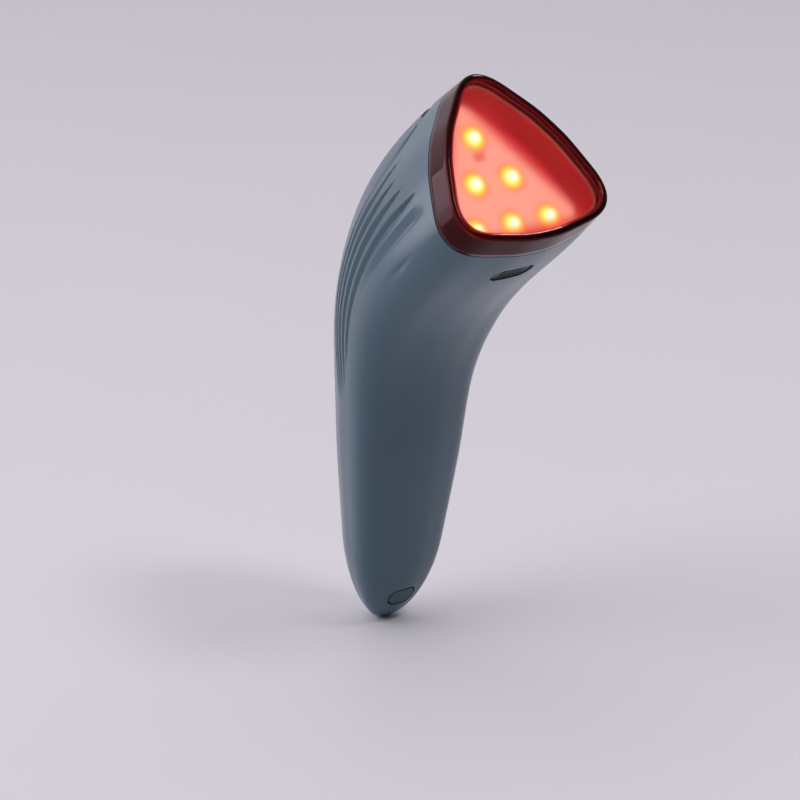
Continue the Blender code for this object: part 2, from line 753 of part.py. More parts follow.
def head_screw_hole(angle):
    """A cutter for one head screw."""
    front = sink_depths()[0]
    bottom = -front - SINK_THICK - RING_THICK - OVERRUN
    hole = rod("head_screw_hole", SCREW_RADIUS + FIT, bottom, -front - FIT, 16)
    return make_object("head_screw_hole", hole, None, FACE, head_screw_place(angle))


def ring_depths():
    """The depths of the chassis ring's front and back."""
    front = sink_depths()[1] + FIT
    return front, front + RING_THICK


def screw_mesh(name, length):
    """A pan-head screw with its head's underside at zero and its shank upwards."""
    head = SCREW_HEAD_RADIUS
    profile = [(0.0, length), (SCREW_RADIUS, length), (SCREW_RADIUS, 0.0), (head, 0.0)]
    profile += [(head, -SCREW_HEAD_HEIGHT / 2), (SCREW_CROWN_SHARE * head, -SCREW_HEAD_HEIGHT)]
    profile.append((0.0, -SCREW_HEAD_HEIGHT))
    return turned_solid(name, profile, 12)


def make_screws(name, length, parent, spots, turn=0.0):
    """Equal screws at several spots of a frame, turned over where their heads are on top."""
    mesh = screw_mesh(name, length)
    for index, spot in enumerate(spots):
        make_object(f"{name}_{index + 1}", mesh.copy(), "steel", parent, spot, (turn, 0.0, 0.0))


def make_head_screws():
    """Three screws from behind, through the chassis ring into the heat sink."""
    back = ring_depths()[1] + FIT
    spots = [Vector(head_screw_place(angle)) - Vector((0.0, 0.0, back)) for angle in HEAD_SCREW_ANGLES]
    make_screws("head_screw", back - sink_depths()[0] - 2 * FIT, FACE, spots)


def make_chassis():
    """The frame: ring, board plate, battery rail with its stops, and the port's post."""
    front, back = ring_depths()
    hole = head_outline(front, WALL + FIT + RING_WIDTH)
    outline = head_outline(front, WALL + FIT)
    ring = plate("chassis_stock", outline, -back, -front, [hole])
    chassis = make_object("chassis_stock", ring, None, FACE)
    for angle in HEAD_SCREW_ANGLES:
        combine(chassis, head_screw_hole(angle))
    blower_front = sink_depths()[2] + 2 * FIT
    for sign in (-1, 1):
        spot = (sign * EAR_CENTRE, 0.0, 0.0)
        post = rod("blower_post", BOSS_RADIUS, -blower_front + FIT, -front - RING_THICK / 2, 16)
        combine(chassis, make_object("blower_post", post, None, FACE, spot), "UNION")
        bore = rod("blower_bore", SCREW_RADIUS + FIT, -blower_front - OVERRUN, -front - RING_THICK / 2, 12)
        combine(chassis, make_object("blower_bore", bore, None, FACE, spot))
    plate_head, plate_tail = chassis_plate_ends()
    size = (2 * PLATE_HALF, PLATE_THICK, plate_head - plate_tail)
    slab = box("chassis_plate", size, (0.0, 0.0, (plate_head + plate_tail) / 2))
    combine(chassis, make_object("chassis_plate", slab, None, MAIN), "UNION")
    for spot in board_screw_spots():
        boss = rod("board_boss", BOSS_RADIUS, 0.0, PLATE_THICK / 2 + MAIN_BOARD_RISE - FIT, 16)
        combine(chassis, make_object("board_boss", boss, None, MAIN_UP, spot), "UNION")
        bore = rod("board_bore", SCREW_RADIUS + FIT, PLATE_THICK / 2, PLATE_THICK + MAIN_BOARD_RISE, 12)
        combine(chassis, make_object("board_bore", bore, None, MAIN_UP, spot))
    low = BATTERY_RADIUS + FIT + FIT / 2
    rail_head, rail_tail = BEND_END - BATTERY_FRONT, BEND_END - RAIL_END
    rail = ((2 * RAIL_HALF, PLATE_THICK, rail_head - rail_tail), rail_head + rail_tail)
    tail_end = port_post_top().z
    thin = ((2 * RAIL_TAIL_HALF, PLATE_THICK, rail_tail - tail_end + PLATE_THICK),
            rail_tail + tail_end + PLATE_THICK)
    for name, (size, twice) in (("rail", rail), ("rail_tail", thin)):
        bar = box(name, size, (0.0, low + PLATE_THICK / 2, twice / 2))
        combine(chassis, make_object(name, bar, None, GRIP), "UNION")
    gap = STOP_THICK / 2 + TAB_THICK + 2 * FIT
    top = low + PLATE_THICK / 2
    for name, middle in (("stop_head", BEND_END - BATTERY_FRONT + gap),
                         ("stop_tail", BEND_END - BATTERY_FRONT - BATTERY_LENGTH - gap)):
        size = (2 * STOP_HALF, top + STOP_DROP, STOP_THICK)
        stop = box(name, size, (0.0, (top - STOP_DROP) / 2, middle))
        combine(chassis, make_object(name, stop, None, GRIP), "UNION")
    bottom = -port_board_depth() - CHARGE_BOARD_SIZE[2] - FIT
    reach = (port_post_top() - GRIP_TO_PORT).length
    post = box("port_post", (*POST_SIZE, reach + bottom), (0.0, 0.0, (bottom - reach) / 2))
    combine(chassis, make_object("port_post", post, None, PORT), "UNION")
    return finish_piece(chassis, "chassis", "frame_plastic", FACE)


def chassis_plate_ends():
    """The board plate's head and tail ends, along the main board's frame."""
    lean_here = lean(BUTTON_STATION)
    middle = spine(BUTTON_STATION) + turned(BUTTON_STATION) @ Vector((0.0, CHASSIS_RISE, 0.0))
    head = (-ring_depths()[0] - PLATE_THICK / 2 - middle.z) / math.cos(lean_here)
    rail = spine(BEND_END) + turned(BEND_END) @ Vector((0.0, BATTERY_RADIUS + FIT + PLATE_THICK / 2, 0.0))
    along = turned(BEND_END) @ Vector((0.0, 0.0, 1.0))
    across = turned(BUTTON_STATION) @ Vector((0.0, 1.0, 0.0))
    meeting = rail + along * (middle - rail).dot(across) / along.dot(across)
    return head, (turned(BUTTON_STATION).transposed() @ (meeting - middle)).z - PLATE_THICK / 2


def board_screw_spots():
    """The main board's screw places, in the frame that looks up from the board."""
    ends = (MAIN_BOARD_HEAD - BOARD_SCREW_SET, BOARD_SCREW_SET - MAIN_BOARD_TAIL)
    sides = (MAIN_BOARD_HALF - BOARD_SCREW_SET, BOARD_SCREW_SET - MAIN_BOARD_HALF)
    return [(side, -end, 0.0) for side, end in zip(sides, ends)]


def make_blower():
    """The flat blower: its case with ears, its bladed rotor, its shaft and two screws."""
    front = sink_depths()[2] + 2 * FIT
    back = front + BLOWER_THICK
    middle = -(front + back) / 2
    size = (BLOWER_SIZE, BLOWER_SIZE, BLOWER_THICK)
    case = make_object("case_stock", box("case_stock", size, (0.0, 0.0, middle)), None, FACE)
    ear_size = (2 * (EAR_CENTRE + EAR_HALF), 2 * EAR_HALF, EAR_THICK)
    ears = box("case_ears", ear_size, (0.0, 0.0, -front - EAR_THICK / 2))
    combine(case, make_object("case_ears", ears, None, FACE), "UNION")
    bore = rod("case_bore", BLOWER_BORE, -back + BLOWER_WALL, -front - BLOWER_WALL, 40)
    combine(case, make_object("case_bore", bore, None, FACE))
    inlet = rod("case_inlet", BLOWER_INLET, middle, OVERRUN - front, 32)
    combine(case, make_object("case_inlet", inlet, None, FACE))
    width, height = BLOWER_OUTLET
    outlet = box("case_outlet", (width, BLOWER_SIZE / 2, height), (0.0, -BLOWER_SIZE / 2, middle))
    combine(case, make_object("case_outlet", outlet, None, FACE))
    seat = rod("case_seat", SHAFT_RADIUS + FIT, -back - OVERRUN, middle, 12)
    combine(case, make_object("case_seat", seat, None, FACE))
    for sign in (-1, 1):
        hole = rod("ear_hole", SCREW_RADIUS + FIT, -front - EAR_THICK - OVERRUN, OVERRUN - front, 12)
        combine(case, make_object("ear_hole", hole, None, FACE, (sign * EAR_CENTRE, 0.0, 0.0)))
    finish_piece(case, "blower_case", "dark_plastic", FACE)
    low, high = -back + BLOWER_WALL + FIT, -front - BLOWER_WALL - FIT
    points = []
    for blade in range(BLADE_COUNT):
        for turn, reach in BLADE_SHARES:
            radius = ROTOR_HUB + reach * (ROTOR_RADIUS - ROTOR_HUB)
            angle = math.tau * (blade + turn) / BLADE_COUNT
            points.append((radius * math.cos(angle), radius * math.sin(angle)))
    half = (high - low) / 2
    rotor = plate("blower_rotor", points, -half, half, [round_outline(SHAFT_RADIUS + FIT, sides=12)])
    make_object("blower_rotor", rotor, "frame_plastic", FACE, (0.0, 0.0, low + half))
    make_object("blower_shaft", rod("blower_shaft", SHAFT_RADIUS, -back, high, 12), "steel", FACE)
    spots = [(sign * EAR_CENTRE, 0.0, -front - EAR_THICK - FIT) for sign in (-1, 1)]
    make_screws("blower_screw", EAR_THICK + RING_THICK, FACE, spots)


def board_top():
    """The height of the main board's upper face over the chassis plate's middle."""
    return PLATE_THICK / 2 + MAIN_BOARD_RISE + MAIN_BOARD_THICK


def make_main_board():
    """The main board with its screws, coil, chip and status light."""
    top = board_top()
    size = (2 * MAIN_BOARD_HALF, MAIN_BOARD_HEAD + MAIN_BOARD_TAIL, MAIN_BOARD_THICK)
    centre = (0.0, (MAIN_BOARD_TAIL - MAIN_BOARD_HEAD) / 2, top - MAIN_BOARD_THICK / 2)
    board = make_object("board_stock", box("board_stock", size, centre), None, MAIN_UP)
    for spot in board_screw_spots():
        hole = rod("board_hole", SCREW_RADIUS + FIT, 0.0, 2 * top, 12)
        combine(board, make_object("board_hole", hole, None, MAIN_UP, spot))
    finish_piece(board, "main_board", "circuit_board", MAIN_UP)
    spots = [(across, along, top + FIT) for across, along, _ in board_screw_spots()]
    make_screws("board_screw", MAIN_BOARD_THICK + MAIN_BOARD_RISE - FIT, MAIN_UP, spots, math.pi)
    base = top + FIT
    rim, waist = COIL_RADIUS, COIL_WAIST
    profile = [(0.0, COIL_HEIGHT), (rim, COIL_HEIGHT), (rim, COIL_HEIGHT - COIL_FLANGE)]
    profile += [(waist, COIL_HEIGHT - COIL_FLANGE), (waist, COIL_FLANGE), (rim, COIL_FLANGE)]
    profile += [(rim, 0.0), (0.0, 0.0)]
    across, head = COIL_PLACE
    coil = turned_solid("driver_coil", profile, 20)
    make_object("driver_coil", coil, "copper", MAIN_UP, (across, -head, base))
    across, head = CHIP_PLACE
    chip = box("control_chip", CHIP_SIZE)
    make_object("control_chip", chip, "dark_plastic", MAIN_UP, (across, -head, base + CHIP_SIZE[2] / 2))
    light = box("status_led", STATUS_LED_SIZE)
    spot = (0.0, PIPE_PLACE, base + STATUS_LED_SIZE[2] / 2)
    make_object("status_led", light, "clear_plastic", MAIN_UP, spot)


def button_stations():
    """Stations round the button and the light pipe."""
    reach = BUTTON_SIZE[1] + PIPE_PLACE
    return stations_between(BUTTON_STATION - reach, BUTTON_STATION + reach, HOUSING_STEP)


def make_button():
    """The power button in the housing's back, with the switch that it presses."""
    base = board_top() + FIT
    switch_top = base + SWITCH_SIZE[2]
    low = switch_top - PLUNGER_LENGTH + PLUNGER_RISE
    switch = box("switch_stock", SWITCH_SIZE, (0.0, 0.0, base + SWITCH_SIZE[2] / 2))
    switch = make_object("switch_stock", switch, None, MAIN_UP)
    bore = rod("switch_bore", PLUNGER_RADIUS + FIT, low - BUTTON_TRAVEL - 2 * FIT, 2 * switch_top, 20)
    combine(switch, make_object("switch_bore", bore, None, MAIN_UP))
    finish_piece(switch, "tact_switch", "dark_plastic", MAIN_UP)
    plunger = rod("switch_plunger", PLUNGER_RADIUS, 0.0, PLUNGER_LENGTH, 20)
    make_object("switch_plunger", plunger, "frame_plastic", MAIN_UP, (0.0, 0.0, low))
    width, length = BUTTON_SIZE
    under = WALL + FIT
    back = under + BUTTON_FLANGE
    outline = oval_outline(width, length)
    button = skin_patch("button", MAIN_UP, outline, -BUTTON_PROUD, back, button_stations())
    wide = oval_outline(width + 2 * BUTTON_FLANGE, length + 2 * BUTTON_FLANGE)
    combine(button, skin_patch("button_flange", MAIN_UP, wide, under, back, button_stations()), "UNION")
    skin = section(BUTTON_STATION, 0.0).y - CHASSIS_RISE
    top = skin - under - BUTTON_FLANGE / 2
    stem = rod("button_stem", PLUNGER_RADIUS, low + PLUNGER_LENGTH + FIT, top, 20)
    combine(button, make_object("button_stem", stem, None, MAIN_UP), "UNION")
    finish_piece(button, "power_button", "soft_rubber", MAIN_UP, (0.0, 0.0, skin))


def make_light_pipe():
    """The clear rod that carries the status light to the housing's skin."""
    bottom = board_top() + 2 * FIT + STATUS_LED_SIZE[2]
    stock = rod("pipe_stock", PIPE_RADIUS, bottom, 2 * HEAD_RADIUS, 16)
    pipe = make_object("pipe_stock", stock, None, MAIN_UP, (0.0, PIPE_PLACE, 0.0))
    combine(pipe, horn_solid("pipe_skin", 0.0, button_stations()), "INTERSECT")
    finish_piece(pipe, "status_light_pipe", "clear_plastic", MAIN_UP)


def make_grille(name, frame, station):
    """A dark vent grille set into the housing, with long louvres."""
    width, height = VENT_SIZE
    outline = slot_outline(width - 2 * FIT, height - 2 * FIT)
    stations = stations_between(station - VENT_SIZE[0] / 2, station + VENT_SIZE[0] / 2, HOUSING_STEP / 2)
    grille = skin_patch(name, frame, outline, GRILLE_RECESS, GRILLE_RECESS + GRILLE_THICK, stations)
    pitch = (height - 2 * FIT) / (LOUVRE_COUNT + 1)
    for index in range(LOUVRE_COUNT):
        row = (index - (LOUVRE_COUNT - 1) / 2) * pitch
        size = (width - height, LOUVRE_WIDTH, 2 * HEAD_RADIUS)
        slot = box(name + "_louvre", size, (0.0, row, HEAD_RADIUS))
        combine(grille, make_object(name + "_louvre", slot, None, frame))
    finish_piece(grille, name, "dark_plastic", frame)


def make_battery():
    """The round cell in the grip with its end tabs and the foam pad that steadies it."""
    head = BEND_END - BATTERY_FRONT
    tail = head - BATTERY_LENGTH
    radius, edge = BATTERY_RADIUS, BATTERY_RADIUS - BATTERY_ROUND
    profile = [(0.0, head), (edge, head), (radius, head - BATTERY_ROUND)]
    profile += [(radius, tail + BATTERY_ROUND), (edge, tail), (0.0, tail)]
    make_object("battery_cell", turned_solid("battery_cell", profile, 36), "cell_wrap", GRIP)
    size = (2 * TAB_REACH, 2 * TAB_HALF, TAB_THICK)
    gap = FIT + TAB_THICK / 2
    for end, height in (("head", head + gap), ("tail", tail - gap)):
        name = f"battery_tab_{end}"
        make_object(name, box(name, size), "steel", GRIP, (0.0, 0.0, height))
    spot = (0.0, -radius - FIT - PAD_SIZE[1] / 2, (head + tail) / 2)
    make_object("battery_pad", box("battery_pad", PAD_SIZE), "soft_rubber", GRIP, spot)


def port_stations(inset):
    """Stations round the port, up to the tail end."""
    tip = TIP_SHARE * LENGTH
    return [tip - PORT_SIZE[0], tip - PORT_SIZE[0] / 2] + tip_stations(inset)


def port_board_depth():
    """How deep the charge board's outer face lies behind the housing's skin."""
    return SOCKET_SET + SOCKET_SIZE[2] + FIT


def port_post_top():
    """Where the port's post meets the battery rail, in the grip's frame."""
    tilt = math.radians(PORT_TILT_ANGLE)
    rise = BATTERY_RADIUS + FIT + FIT / 2 + PLATE_THICK / 2 - GRIP_TO_PORT.y
    return GRIP_TO_PORT + rise * Vector((0.0, 1.0, math.tan(tilt)))


def hinge_point():
    """The port cover's hinge, half the cover's thickness inside its skin and its upper edge."""
    into_port = Matrix.Rotation(PORT_TURN, 3, "X").transposed()
    wanted = PORT_SIZE[1] / 2 - PORT_GAP - COVER_THICK / 2
    low, high = PORT_STATION - PORT_SIZE[1], PORT_STATION
    for _ in range(30):
        station = (low + high) / 2
        point = into_port @ (place(station, math.pi, COVER_THICK / 2) - PORT_POINT)
        low, high = (station, high) if point.y > wanted else (low, station)
    return point


def make_port():
    """The charging port: rubber cover, socket and its small board."""
    width, height = PORT_SIZE
    outline = slot_outline(width - 2 * PORT_GAP, height - 2 * PORT_GAP)
    cover = skin_patch("cover", PORT, outline, 0.0, COVER_THICK, port_stations(0.0), -SOCKET_SIZE[2])
    finish_piece(cover, "port_cover", "soft_rubber", PORT, hinge_point())
    front = -SOCKET_SET
    back = front - SOCKET_SIZE[2]
    width, height, _ = SOCKET_SIZE
    shell = plate("socket_stock", slot_outline(width, height), back, front)
    socket = make_object("socket_stock", shell, None, PORT)
    inside = slot_outline(width - 2 * SOCKET_WALL, height - 2 * SOCKET_WALL)
    inside = plate("socket_inside", inside, back + SOCKET_FLOOR, OVERRUN)
    combine(socket, make_object("socket_inside", inside, None, PORT))
    size = (*SOCKET_TONGUE, front - back - SOCKET_WALL)
    tongue = box("socket_tongue", size, (0.0, 0.0, (front - SOCKET_WALL + back) / 2))
    combine(socket, make_object("socket_tongue", tongue, None, PORT), "UNION")
    finish_piece(socket, "charge_socket", "steel", PORT)
    board = box("charge_board", CHARGE_BOARD_SIZE)
    spot = (0.0, 0.0, -port_board_depth() - CHARGE_BOARD_SIZE[2] / 2)
    make_object("charge_board", board, "circuit_board", PORT, spot)


def make_housing():
    """The one-piece housing: fluted horn outside, hollow inside, with its openings and ledges."""
    front = CAP_DEPTH + FIT
    tip = tip_stations(0.0)
    rows = stations_between(front, TIP_SHARE * LENGTH, HOUSING_STEP) + tip
    outer = loft("housing_stock", [fluted_ring(station) for station in rows])
    housing = make_object("housing_stock", outer, None, FACE)
    rows = [front - OVERRUN] + stations_between(front, TIP_SHARE * LENGTH, HOLLOW_STEP)[1:]
    rows += tip_stations(WALL)[1:-2]
    combine(housing, horn_solid("housing_hollow", WALL, rows))
    slot = slot_outline(*VENT_SIZE)
    high = 2 * HEAD_RADIUS
    low = HEAD_RADIUS / 2
    for frame in (FRONT_VENT, REAR_VENT):
        combine(housing, make_object("vent_cut", plate("vent_cut", slot, low, high), None, frame))
    width, length = BUTTON_SIZE
    hole = oval_outline(width + 2 * FIT, length + 2 * FIT)
    combine(housing, make_object("button_cut", plate("button_cut", hole, low, high), None, MAIN_UP))
    cut = rod("pipe_cut", PIPE_RADIUS + FIT, low, high, 16)
    combine(housing, make_object("pipe_cut", cut, None, MAIN_UP, (0.0, PIPE_PLACE, 0.0)))
    pocket = plate("port_pocket", slot_outline(*PORT_SIZE), -SOCKET_SIZE[2], SOCKET_SIZE[2])
    pocket = make_object("port_pocket", pocket, None, PORT)
    depth = COVER_THICK + PORT_GAP
    combine(pocket, horn_solid("pocket_floor", depth, port_stations(depth)))
    combine(housing, pocket)
    width, height, depth = SOCKET_SIZE
    mouth = plate("port_mouth", slot_outline(width + 2 * FIT, height + 2 * FIT), -depth, 0.0)
    combine(housing, make_object("port_mouth", mouth, None, PORT))
    shelf = ring_depths()[1] + FIT
    wide, deep = LEDGE_SIZE
    skin = horn_solid("ledge_skin", WALL / 2, [shelf - OVERRUN, shelf, shelf + deep + OVERRUN])
    for angle in [sign * angle for sign in (-1, 1) for angle in LEDGE_ANGLES]:
        turn = math.radians(angle)
        middle = section(shelf, turn, WALL).length
        block = box("ledge", (wide, 2 * LEDGE_REACH, deep), (0.0, middle, -shelf - deep / 2))
        ledge = make_object("ledge", block, None, FACE, (0.0, 0.0, 0.0), (0.0, 0.0, -turn))
        combine(ledge, skin, "INTERSECT")
        combine(housing, ledge, "UNION")
    finish_piece(housing, "handle_shell", "slate_plastic", FACE)


def on_face(across, back, out):
    """A point given in the face's frame."""
    return Vector((across, back, out))


def on_main(across, up, head):
    """A point given on the main board's frame, in the face's frame."""
    return MAIN_POINT + turned(BUTTON_STATION) @ Vector((across, up, head))


def on_grip(across, up, head):
    """A point given on the grip's frame, in the face's frame."""
    return spine(BEND_END) + turned(BEND_END) @ Vector((across, up, head))


def on_port(across, up, out):
    """A point given on the port's frame, in the face's frame."""
    return PORT_POINT + Matrix.Rotation(PORT_TURN, 3, "X") @ Vector((across, up, out))


def route(on_frame, shares):
    """Points of a wire's route, given as shares of the head's radius in a frame."""
    return [on_frame(*(HEAD_RADIUS * share for share in row)) for row in shares]


def make_board_wires():
    """The wires from the light board and the blower to the main board."""
    start = Vector((0.0, CABLE_HOLE_RISE, -BOARD_FRONT - BOARD_THICK - FIT))
    past_sink = Vector((0.0, CABLE_HOLE_RISE, -sink_depths()[2] - FIT))
    points = [start, past_sink] + route(on_face, LED_FACE_SHARES)
    make_wire("led_cable", points + route(on_main, LED_BOARD_SHARES))
    points = route(on_face, BLOWER_FACE_SHARES) + route(on_main, BLOWER_BOARD_SHARES)
    make_wire("blower_cable", points)


def make_power_wires():
    """The wires from the battery and the charging port to the main board."""
    points = route(on_grip, BATTERY_GRIP_SHARES) + route(on_main, BATTERY_BOARD_SHARES)
    make_wire("battery_cable", points)
    deep = -port_board_depth() - CHARGE_BOARD_SIZE[2] - FIT
    across, up, reach = (HEAD_RADIUS * share for share in CHARGE_START_SHARES)
    points = [on_port(across, up, deep), on_port(across, up, deep - reach)]
    to_tail = turned(BEND_END) @ Vector((0.0, 0.0, GRIP_TO_PORT.z))
    points += [point + to_tail for point in route(on_grip, CHARGE_TAIL_SHARES)]
    points += route(on_grip, CHARGE_GRIP_SHARES) + route(on_main, CHARGE_BOARD_SHARES)
    make_wire("charge_cable", points)


for old in list(bpy.data.objects):
    bpy.data.objects.remove(old)

PARTS = make_collection("red_light_wand")
CUTTERS = make_collection("cutters")
make_materials()

UPRIGHT = math.radians(90.0 - FACE_ANGLE)
FACE_POINT = -(Matrix.Rotation(UPRIGHT, 3, "X") @ spine(BEND_END))
MAIN_POINT = spine(BUTTON_STATION) + turned(BUTTON_STATION) @ Vector((0.0, CHASSIS_RISE, 0.0))
PORT_TURN = math.pi / 2 + math.radians(PORT_TILT_ANGLE) - lean(PORT_STATION)
PORT_POINT = place(PORT_STATION, math.pi)
GRIP_TO_PORT = turned(BEND_END).transposed() @ (PORT_POINT - spine(BEND_END))

FACE = make_empty("face_frame", FACE_POINT, UPRIGHT)
MAIN = make_empty("board_frame", MAIN_POINT, -lean(BUTTON_STATION), FACE)
MAIN_UP = make_empty("board_up_frame", (0.0, 0.0, 0.0), -math.pi / 2, MAIN)
GRIP = station_frame("grip_frame", BEND_END)
PORT = make_empty("port_frame", PORT_POINT, PORT_TURN, FACE)
FRONT_VENT = station_frame("front_vent_frame", FRONT_VENT_STATION, math.pi / 2)
REAR_VENT = station_frame("rear_vent_frame", REAR_VENT_STATION, -math.pi / 2)
bpy.context.view_layer.update()

make_lens_cap()
make_light_well()
make_light_board()
make_heat_sink()
make_head_screws()
make_chassis()
make_blower()
make_main_board()
make_button()
make_light_pipe()
make_grille("front_vent_grille", FRONT_VENT, FRONT_VENT_STATION)
make_grille("rear_vent_grille", REAR_VENT, REAR_VENT_STATION)
make_battery()
make_port()
make_housing()
make_board_wires()
make_power_wires()
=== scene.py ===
# %% [markdown]
# This lesson dresses a red light therapy wand: a curved slate-blue housing with grip flutes, and a
# three-cornered head under a deep red glossy cap with six lit lights behind it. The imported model
# holds every inner piece already, so it is loaded first and nothing in it is moved.

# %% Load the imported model
import math

import bpy
from mathutils import Matrix, Vector


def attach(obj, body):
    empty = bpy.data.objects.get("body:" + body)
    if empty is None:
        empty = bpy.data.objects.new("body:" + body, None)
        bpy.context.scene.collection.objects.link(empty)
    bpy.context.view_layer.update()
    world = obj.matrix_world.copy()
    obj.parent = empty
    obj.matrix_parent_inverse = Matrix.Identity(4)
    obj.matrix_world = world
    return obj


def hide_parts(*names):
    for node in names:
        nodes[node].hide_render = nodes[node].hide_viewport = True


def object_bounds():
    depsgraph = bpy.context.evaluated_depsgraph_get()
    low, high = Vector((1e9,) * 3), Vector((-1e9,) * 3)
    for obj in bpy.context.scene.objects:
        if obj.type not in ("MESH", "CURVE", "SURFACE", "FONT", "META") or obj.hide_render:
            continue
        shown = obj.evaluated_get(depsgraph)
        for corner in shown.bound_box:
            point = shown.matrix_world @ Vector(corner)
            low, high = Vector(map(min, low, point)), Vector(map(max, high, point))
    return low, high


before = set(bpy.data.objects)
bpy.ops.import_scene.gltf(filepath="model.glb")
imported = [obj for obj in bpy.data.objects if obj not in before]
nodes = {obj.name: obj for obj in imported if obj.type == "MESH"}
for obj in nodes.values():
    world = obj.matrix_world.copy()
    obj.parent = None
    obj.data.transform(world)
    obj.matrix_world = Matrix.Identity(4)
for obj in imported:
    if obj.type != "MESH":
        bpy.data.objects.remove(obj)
packed_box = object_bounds()
print("nodes", len(nodes), "box", packed_box)

# %% [markdown]
# The camera comes before any piece. It stands in front of the wand, to its left and above it, with
# a long lens, so the head faces the viewer and the tail runs away below. It is placed by its own
# three axes, because a long lens shows a tenth of a degree of error.

# %% Camera
CAMERA_PLACE = Vector((-0.69352, -0.88130, 0.36379))
CAMERA_RIGHT = Vector((0.7824, -0.6227, -0.0104))
CAMERA_UP = Vector((0.1985, 0.2335, 0.9519))
CAMERA_BACK = Vector((-0.5903, -0.7468, 0.3063))
camera = bpy.data.objects.new("camera", bpy.data.cameras.new("camera"))
bpy.context.scene.collection.objects.link(camera)
camera.data.sensor_width = 36.0
camera.data.lens = 162.0
camera.data.clip_start = 0.01
turn = Matrix((CAMERA_RIGHT, CAMERA_UP, CAMERA_BACK)).transposed()
camera.matrix_world = Matrix.Translation(CAMERA_PLACE) @ turn.to_quaternion().to_matrix().to_4x4()
bpy.context.scene.camera = camera
bpy.context.scene.view_settings.view_transform = "Standard"
print("camera", tuple(round(value, 3) for value in camera.location))

# %% [markdown]
# The stage is a wide pale floor that only just touches the tail. It could be a curved backdrop, but
# a level sheet keeps every other view as plain as this one.

# %% Floor
LOWEST = packed_box[0][2]


def plain_stage_material(name, colour, roughness):
    """A pale paper-like finish with a faint mottle."""
    material = bpy.data.materials.new(name)
    material.use_nodes = True
    tree = material.node_tree
    shader = tree.nodes["Principled BSDF"]
    place = tree.nodes.new("ShaderNodeTexCoord")
    mottle = tree.nodes.new("ShaderNodeTexNoise")
    mottle.inputs["Scale"].default_value = 9.0
    mottle.inputs["Detail"].default_value = 3.0
    ramp = tree.nodes.new("ShaderNodeValToRGB")
    ramp.color_ramp.elements[0].color = (*(0.97 * value for value in colour), 1.0)
    ramp.color_ramp.elements[1].color = (*colour, 1.0)
    tree.links.new(place.outputs["Object"], mottle.inputs["Vector"])
    tree.links.new(mottle.outputs["Fac"], ramp.inputs["Fac"])
    tree.links.new(ramp.outputs["Color"], shader.inputs["Base Color"])
    shader.inputs["Roughness"].default_value = roughness
    return material


bpy.ops.object.select_all(action="DESELECT")
bpy.ops.mesh.primitive_plane_add(size=30.0, location=(0.0, 0.0, LOWEST))
floor = bpy.context.object
floor.name = "floor"
floor.data.materials.append(plain_stage_material("pale_floor", (0.79, 0.755, 0.80), 0.6))
print("floor at", round(LOWEST, 4))

# %% [markdown]
# The light is a pale room that is darker on the viewer's side, so that the edges of a glossy thing
# shine and its middle stays deep. A key panel above and to the right throws the shadow to the left,
# and two wide ones, at the top and the left, soften it. Two more show only in reflections and light
# no surface: one is there for a glint on the rim, and an upright one at the left gives the ribs
# their pale gleam.

# %% Lights
def panel(name, place, target, size, power):
    """A soft square lamp that looks at a point."""
    lamp = bpy.data.lights.new(name, "AREA")
    lamp.size = size
    lamp.energy = power
    thing = bpy.data.objects.new(name, lamp)
    bpy.context.scene.collection.objects.link(thing)
    thing.location = place
    thing.rotation_euler = (Vector(target) - Vector(place)).to_track_quat("-Z", "Y").to_euler()
    return thing


ORIGIN = (0.0, 0.0, 0.0)
HEAD_PLACE = (0.04, -0.05, 0.18)
GLEAM_PLACE = (-0.34, 0.57, 0.30)
GLEAM_SIZE = (0.64, 0.6)
panel("key_panel", (0.35, -0.80, 1.36), ORIGIN, 0.36, 5.3)
glint_panel = panel("glint_panel", (1.0, -0.11, 1.28), HEAD_PLACE, 0.2, 5.0)
glint_panel.visible_diffuse = False
panel("top_panel", (0.0, 1.2, 2.0), ORIGIN, 1.6, 3.0)
panel("left_panel", (-1.35, 0.60, 1.10), (0.0, 0.0, 0.12), 1.3, 10.0)
gleam_panel = panel("gleam_panel", GLEAM_PLACE, (0.0, *GLEAM_PLACE[1:]), GLEAM_SIZE[0], 2.6)
gleam_panel.data.color = (1.0, 0.92, 1.06)
gleam_panel.data.shape = "RECTANGLE"
gleam_panel.data.size_y = GLEAM_SIZE[1]
gleam_panel.visible_diffuse = False
gleam_panel.visible_camera = False
gleam_panel.visible_transmission = False
world = bpy.data.worlds.new("pale_room")
bpy.context.scene.world = world
world.use_nodes = True
tree = world.node_tree
way = tree.nodes.new("ShaderNodeTexCoord")
along = tree.nodes.new("ShaderNodeVectorMath")
along.operation = "DOT_PRODUCT"
along.inputs[1].default_value = (0.10, 0.98, 0.15)
room = tree.nodes.new("ShaderNodeValToRGB")
room.color_ramp.elements[0].position = 0.25
room.color_ramp.elements[0].color = (0.10, 0.10, 0.11, 1.0)
room.color_ramp.elements[1].position = 0.85
room.color_ramp.elements[1].color = (1.0, 0.96, 1.04, 1.0)
spread = tree.nodes.new("ShaderNodeMapRange")
spread.inputs["From Min"].default_value = -1.0
tree.links.new(way.outputs["Generated"], along.inputs[0])
tree.links.new(along.outputs["Value"], spread.inputs["Value"])
tree.links.new(spread.outputs["Result"], room.inputs["Fac"])
tree.links.new(room.outputs["Color"], tree.nodes["Background"].inputs["Color"])
tree.nodes["Background"].inputs["Strength"].default_value = 0.86

# %% [markdown]
# The wand is one horn: a middle line that bends back behind the head, with a soft three-cornered
# section swept along it. A place on it is a station, which is the distance from the face along the
# line, and an angle round it, 0 at the back and 180 at the front. The same law draws the housing,
# the cap and the well, so that they meet without any fitting.

